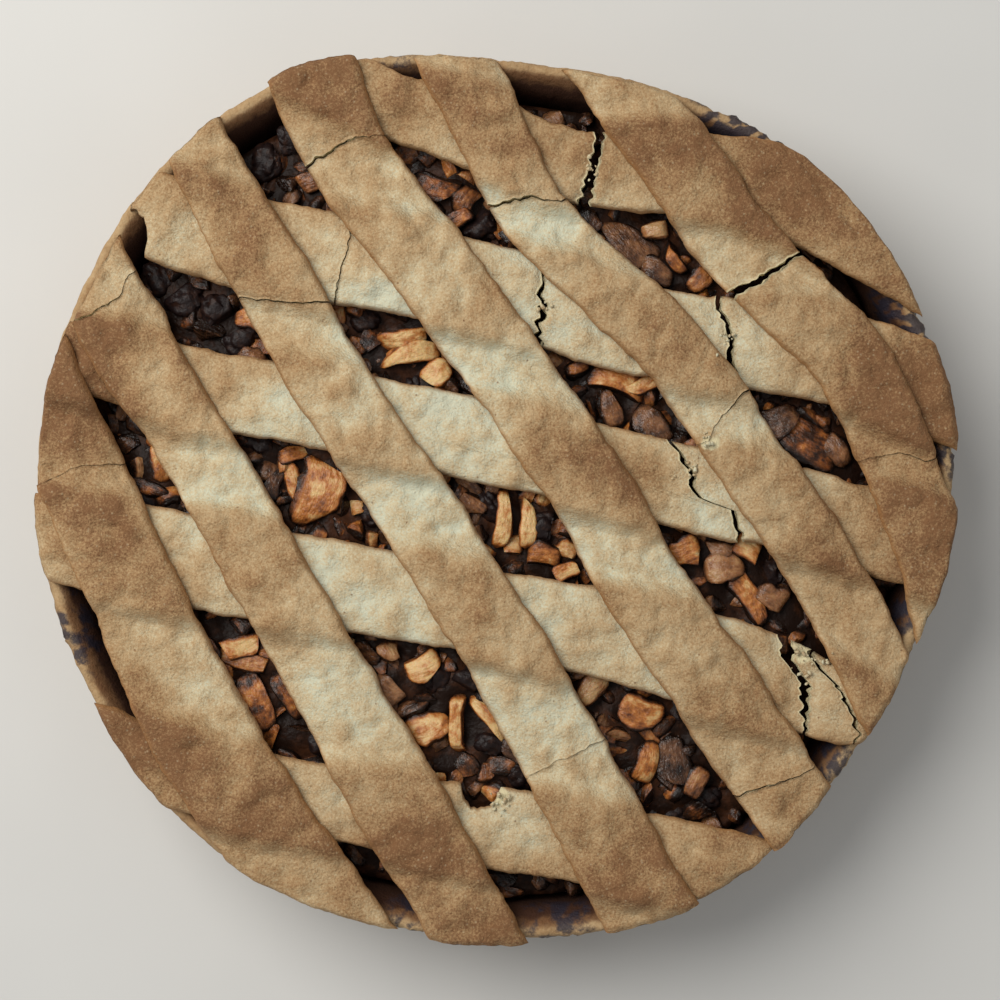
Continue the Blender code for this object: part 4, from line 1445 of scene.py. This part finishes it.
def syrup_paint(colours):
    """Dark syrup with browner apple mush in it."""
    paint = Paint("dark_apple_syrup")
    mottle = paint.mark("tone") + (paint.grain(2.4) - 0.5)
    mass = paint.blend(mottle.between(0.35, 0.9), colours.syrup, colours.brown_apple)
    mass = paint.blend(mottle.between(0.85, 1.2) * 0.7, mass, colours.caramel_apple)
    normal = paint.bump(paint.grain(1.5, roughness=0.5), 0.5, 0.7)
    sockets = {"Base Color": mass, "Roughness": 0.4, "Specular IOR Level": 0.08, "Normal": normal}
    return paint.finish(sockets)


def floor_paint(colours):
    paint = Paint("plain_pale_floor")
    tint = paint.grain(60.0, detail=2.0, roughness=0.5).between(0.2, 0.8)
    darker = tuple(value * 0.97 for value in colours.floor)
    surface = paint.blend(tint, colours.floor, darker)
    return paint.finish({"Base Color": surface, "Roughness": 0.9, "Specular IOR Level": 0.2})


# Properties


def colour_property(name, screen):
    return bpy.props.FloatVectorProperty(
        name=name,
        description=f"{name}, as linear light",
        subtype="COLOR",
        size=3,
        min=0.0,
        max=1.0,
        default=linear(screen),
    )


class PieSizes(bpy.types.PropertyGroup):
    """Sizes that shape the pie's surfaces."""

    lower_thickness: bpy.props.FloatProperty(
        name="Lower strips",
        description="Thickness of the strips that lie on the filling",
        unit="LENGTH",
        default=0.0040,
    )
    upper_thickness: bpy.props.FloatProperty(
        name="Upper strips",
        description="Thickness of the strips that lie across the others",
        unit="LENGTH",
        default=0.0042,
    )
    strip_step: bpy.props.FloatProperty(
        name="Strip detail",
        description="Distance between rows of points along a strip",
        unit="LENGTH",
        default=0.00085,
    )
    shell_step: bpy.props.FloatProperty(
        name="Shell detail",
        description="Distance between columns of points round the shell",
        unit="LENGTH",
        default=0.00125,
    )
    heap_step: bpy.props.FloatProperty(
        name="Filling detail",
        description="Distance between rows of points on the filling's dark mass",
        unit="LENGTH",
        default=0.0018,
    )


class PieColours(bpy.types.PropertyGroup):
    """Colours of the baked dough, the filling and the stage."""

    pale_dough: colour_property("Pale dough", PALE_DOUGH)
    cream_dough: colour_property("Cream dough", CREAM_DOUGH)
    golden_dough: colour_property("Golden dough", GOLDEN_DOUGH)
    brown_dough: colour_property("Browned dough", BROWN_DOUGH)
    dark_dough: colour_property("Dark dough", DARK_DOUGH)
    torn_dough: colour_property("Torn dough", TORN_DOUGH)
    edge_dough: colour_property("Strip sides", EDGE_DOUGH)
    shell_inside: colour_property("Inside of the shell", SHELL_INSIDE)
    burnt_juice: colour_property("Dried juice", BURNT_JUICE)
    pale_apple: colour_property("Pale apple", PALE_APPLE)
    orange_apple: colour_property("Orange apple", ORANGE_APPLE)
    caramel_apple: colour_property("Caramel apple", CARAMEL_APPLE)
    brown_apple: colour_property("Brown apple", BROWN_APPLE)
    glassy_apple: colour_property("Glassy apple", GLASSY_APPLE)
    cloudy_apple: colour_property("Cloudy apple", CLOUDY_APPLE)
    syrup: colour_property("Syrup", SYRUP)
    raisin: colour_property("Raisins", RAISIN)
    floor: colour_property("Floor", FLOOR_GREY)


class PieStage(bpy.types.PropertyGroup):
    """The camera and the lights."""

    view_width: bpy.props.FloatProperty(
        name="Picture width",
        description="Width of the picture at the height of the pie's rim",
        unit="LENGTH",
        default=0.280,
    )
    lens: bpy.props.FloatProperty(
        name="Lens",
        description="Focal length of the camera, in millimetres",
        default=85.0,
    )
    key_power: bpy.props.FloatProperty(
        name="Main light",
        description="Power of the large soft light",
        unit="POWER",
        default=12.5,
    )
    fill_strength: bpy.props.FloatProperty(
        name="Room light",
        description="Strength of the even light from all round",
        default=0.42,
    )


# The stage

FLOOR_REACH = 30.0
VIEW_MIDDLE = (0.0017, -0.0011)
KEY_PLACE = (-0.55, 0.41, 0.90)
KEY_SIZE = 0.85
KEY_COLOUR = (1.0, 0.985, 0.95)
ROOM_COLOUR = (0.95, 0.98, 1.0, 1.0)
SENSOR = 36.0


def build_floor(paint):
    reach = FLOOR_REACH
    mesh = bpy.data.meshes.new("floor")
    corners = [(-reach, -reach, 0.0), (reach, -reach, 0.0), (reach, reach, 0.0), (-reach, reach, 0.0)]
    mesh.from_pydata(corners, [], [(0, 1, 2, 3)])
    mesh.materials.append(paint)
    floor = bpy.data.objects.new("floor", mesh)
    bpy.context.scene.collection.objects.link(floor)


def build_lights(scene):
    world = bpy.data.worlds.new("soft_room")
    world.use_nodes = True
    background = world.node_tree.nodes["Background"]
    background.inputs["Color"].default_value = ROOM_COLOUR
    background.inputs["Strength"].default_value = scene.pie_stage.fill_strength
    scene.world = world
    light = bpy.data.lights.new("main_softbox", "AREA")
    light.shape = "DISK"
    light.size = KEY_SIZE
    light.energy = scene.pie_stage.key_power
    light.color = KEY_COLOUR
    lamp = bpy.data.objects.new("main_softbox", light)
    lamp.location = KEY_PLACE
    lamp.rotation_euler = (-lamp.location).to_track_quat("-Z", "Y").to_euler()
    scene.collection.objects.link(lamp)
    scene.view_settings.view_transform = "Standard"


def build_camera(scene):
    stage = scene.pie_stage
    camera = bpy.data.cameras.new("camera")
    camera.lens = stage.lens
    camera.sensor_width = SENSOR
    rim_height = cad_box[1].z
    holder = bpy.data.objects.new("camera", camera)
    holder.location = (*VIEW_MIDDLE, rim_height + stage.view_width * stage.lens / SENSOR)
    scene.collection.objects.link(holder)
    scene.camera = holder


# Operators


class PIE_OT_shell(bpy.types.Operator):
    """Builds the deep crust shell"""

    bl_idname = "pie.shell"
    bl_label = "Crust shell"

    def execute(self, context):
        scene = context.scene
        build_shell(scene.pie_sizes.shell_step / MM, shell_paint(scene.pie_colours))
        return {"FINISHED"}


class PIE_OT_syrup_core(bpy.types.Operator):
    """Builds the dark mass of syrup and soft apple under the pieces"""

    bl_idname = "pie.syrup_core"
    bl_label = "Filling's dark mass"

    def execute(self, context):
        scene = context.scene
        build_heap_core(scene.pie_sizes.heap_step / MM, syrup_paint(scene.pie_colours))
        return {"FINISHED"}


class PIE_OT_filling_pieces(bpy.types.Operator):
    """Builds the apple sticks, slices and chunks and the raisins that show in the windows"""

    bl_idname = "pie.filling_pieces"
    bl_label = "Apple pieces and raisins"

    def execute(self, context):
        colours = context.scene.pie_colours
        build_lumps({"apple": apple_paint(colours), "raisin": raisin_paint(colours)})
        return {"FINISHED"}


class PIE_OT_lower_strips(bpy.types.Operator):
    """Builds the five strips of dough that lie on the filling"""

    bl_idname = "pie.lower_strips"
    bl_label = "Lower strips"

    def execute(self, context):
        scene = context.scene
        build_strips(LOWER, scene.pie_sizes.lower_thickness, scene, "pale_baked_dough")
        return {"FINISHED"}


class PIE_OT_upper_strips(bpy.types.Operator):
    """Builds the six strips of dough draped over the lower ones"""

    bl_idname = "pie.upper_strips"
    bl_label = "Upper strips"

    def execute(self, context):
        scene = context.scene
        build_strips(UPPER, scene.pie_sizes.upper_thickness, scene, "browned_baked_dough")
        return {"FINISHED"}


class PIE_OT_crumbs(bpy.types.Operator):
    """Builds the crumbs that lie along the breaks"""

    bl_idname = "pie.crumbs"
    bl_label = "Crumbs"

    def execute(self, context):
        scene = context.scene
        build_crumbs(scene.pie_sizes, dough_paint("crumbled_dough", scene.pie_colours))
        return {"FINISHED"}


class PIE_OT_stage(bpy.types.Operator):
    """Builds the floor, the lights and the camera that looks straight down"""

    bl_idname = "pie.stage"
    bl_label = "Stage"

    def execute(self, context):
        build_floor(floor_paint(context.scene.pie_colours))
        build_lights(context.scene)
        build_camera(context.scene)
        return {"FINISHED"}


class VIEW3D_PT_pie(bpy.types.Panel):
    """Lists the pie's properties and its build steps"""

    bl_label = "Apple pie"
    bl_space_type = "VIEW_3D"
    bl_region_type = "UI"
    bl_category = "Pie"

    def draw(self, context):
        for group in (context.scene.pie_sizes, context.scene.pie_colours, context.scene.pie_stage):
            box = self.layout.box()
            for name in group.__annotations__:
                box.prop(group, name)
        for operator in OPERATORS:
            self.layout.operator(operator.bl_idname)


OPERATORS = (
    PIE_OT_shell,
    PIE_OT_syrup_core,
    PIE_OT_filling_pieces,
    PIE_OT_lower_strips,
    PIE_OT_upper_strips,
    PIE_OT_crumbs,
    PIE_OT_stage,
)
GROUPS = {"pie_sizes": PieSizes, "pie_colours": PieColours, "pie_stage": PieStage}


def register():
    for group in GROUPS.values():
        bpy.utils.register_class(group)
    for operator in OPERATORS:
        bpy.utils.register_class(operator)
    bpy.utils.register_class(VIEW3D_PT_pie)
    for name, group in GROUPS.items():
        setattr(bpy.types.Scene, name, bpy.props.PointerProperty(type=group))


def unregister():
    for name in GROUPS:
        delattr(bpy.types.Scene, name)
    for kind in (VIEW3D_PT_pie, *OPERATORS, *GROUPS.values()):
        bpy.utils.unregister_class(kind)


def main():
    register()
    for operator in OPERATORS:
        group, step = operator.bl_idname.split(".")
        getattr(getattr(bpy.ops, group), step)()


if __name__ == "__main__":
    main()
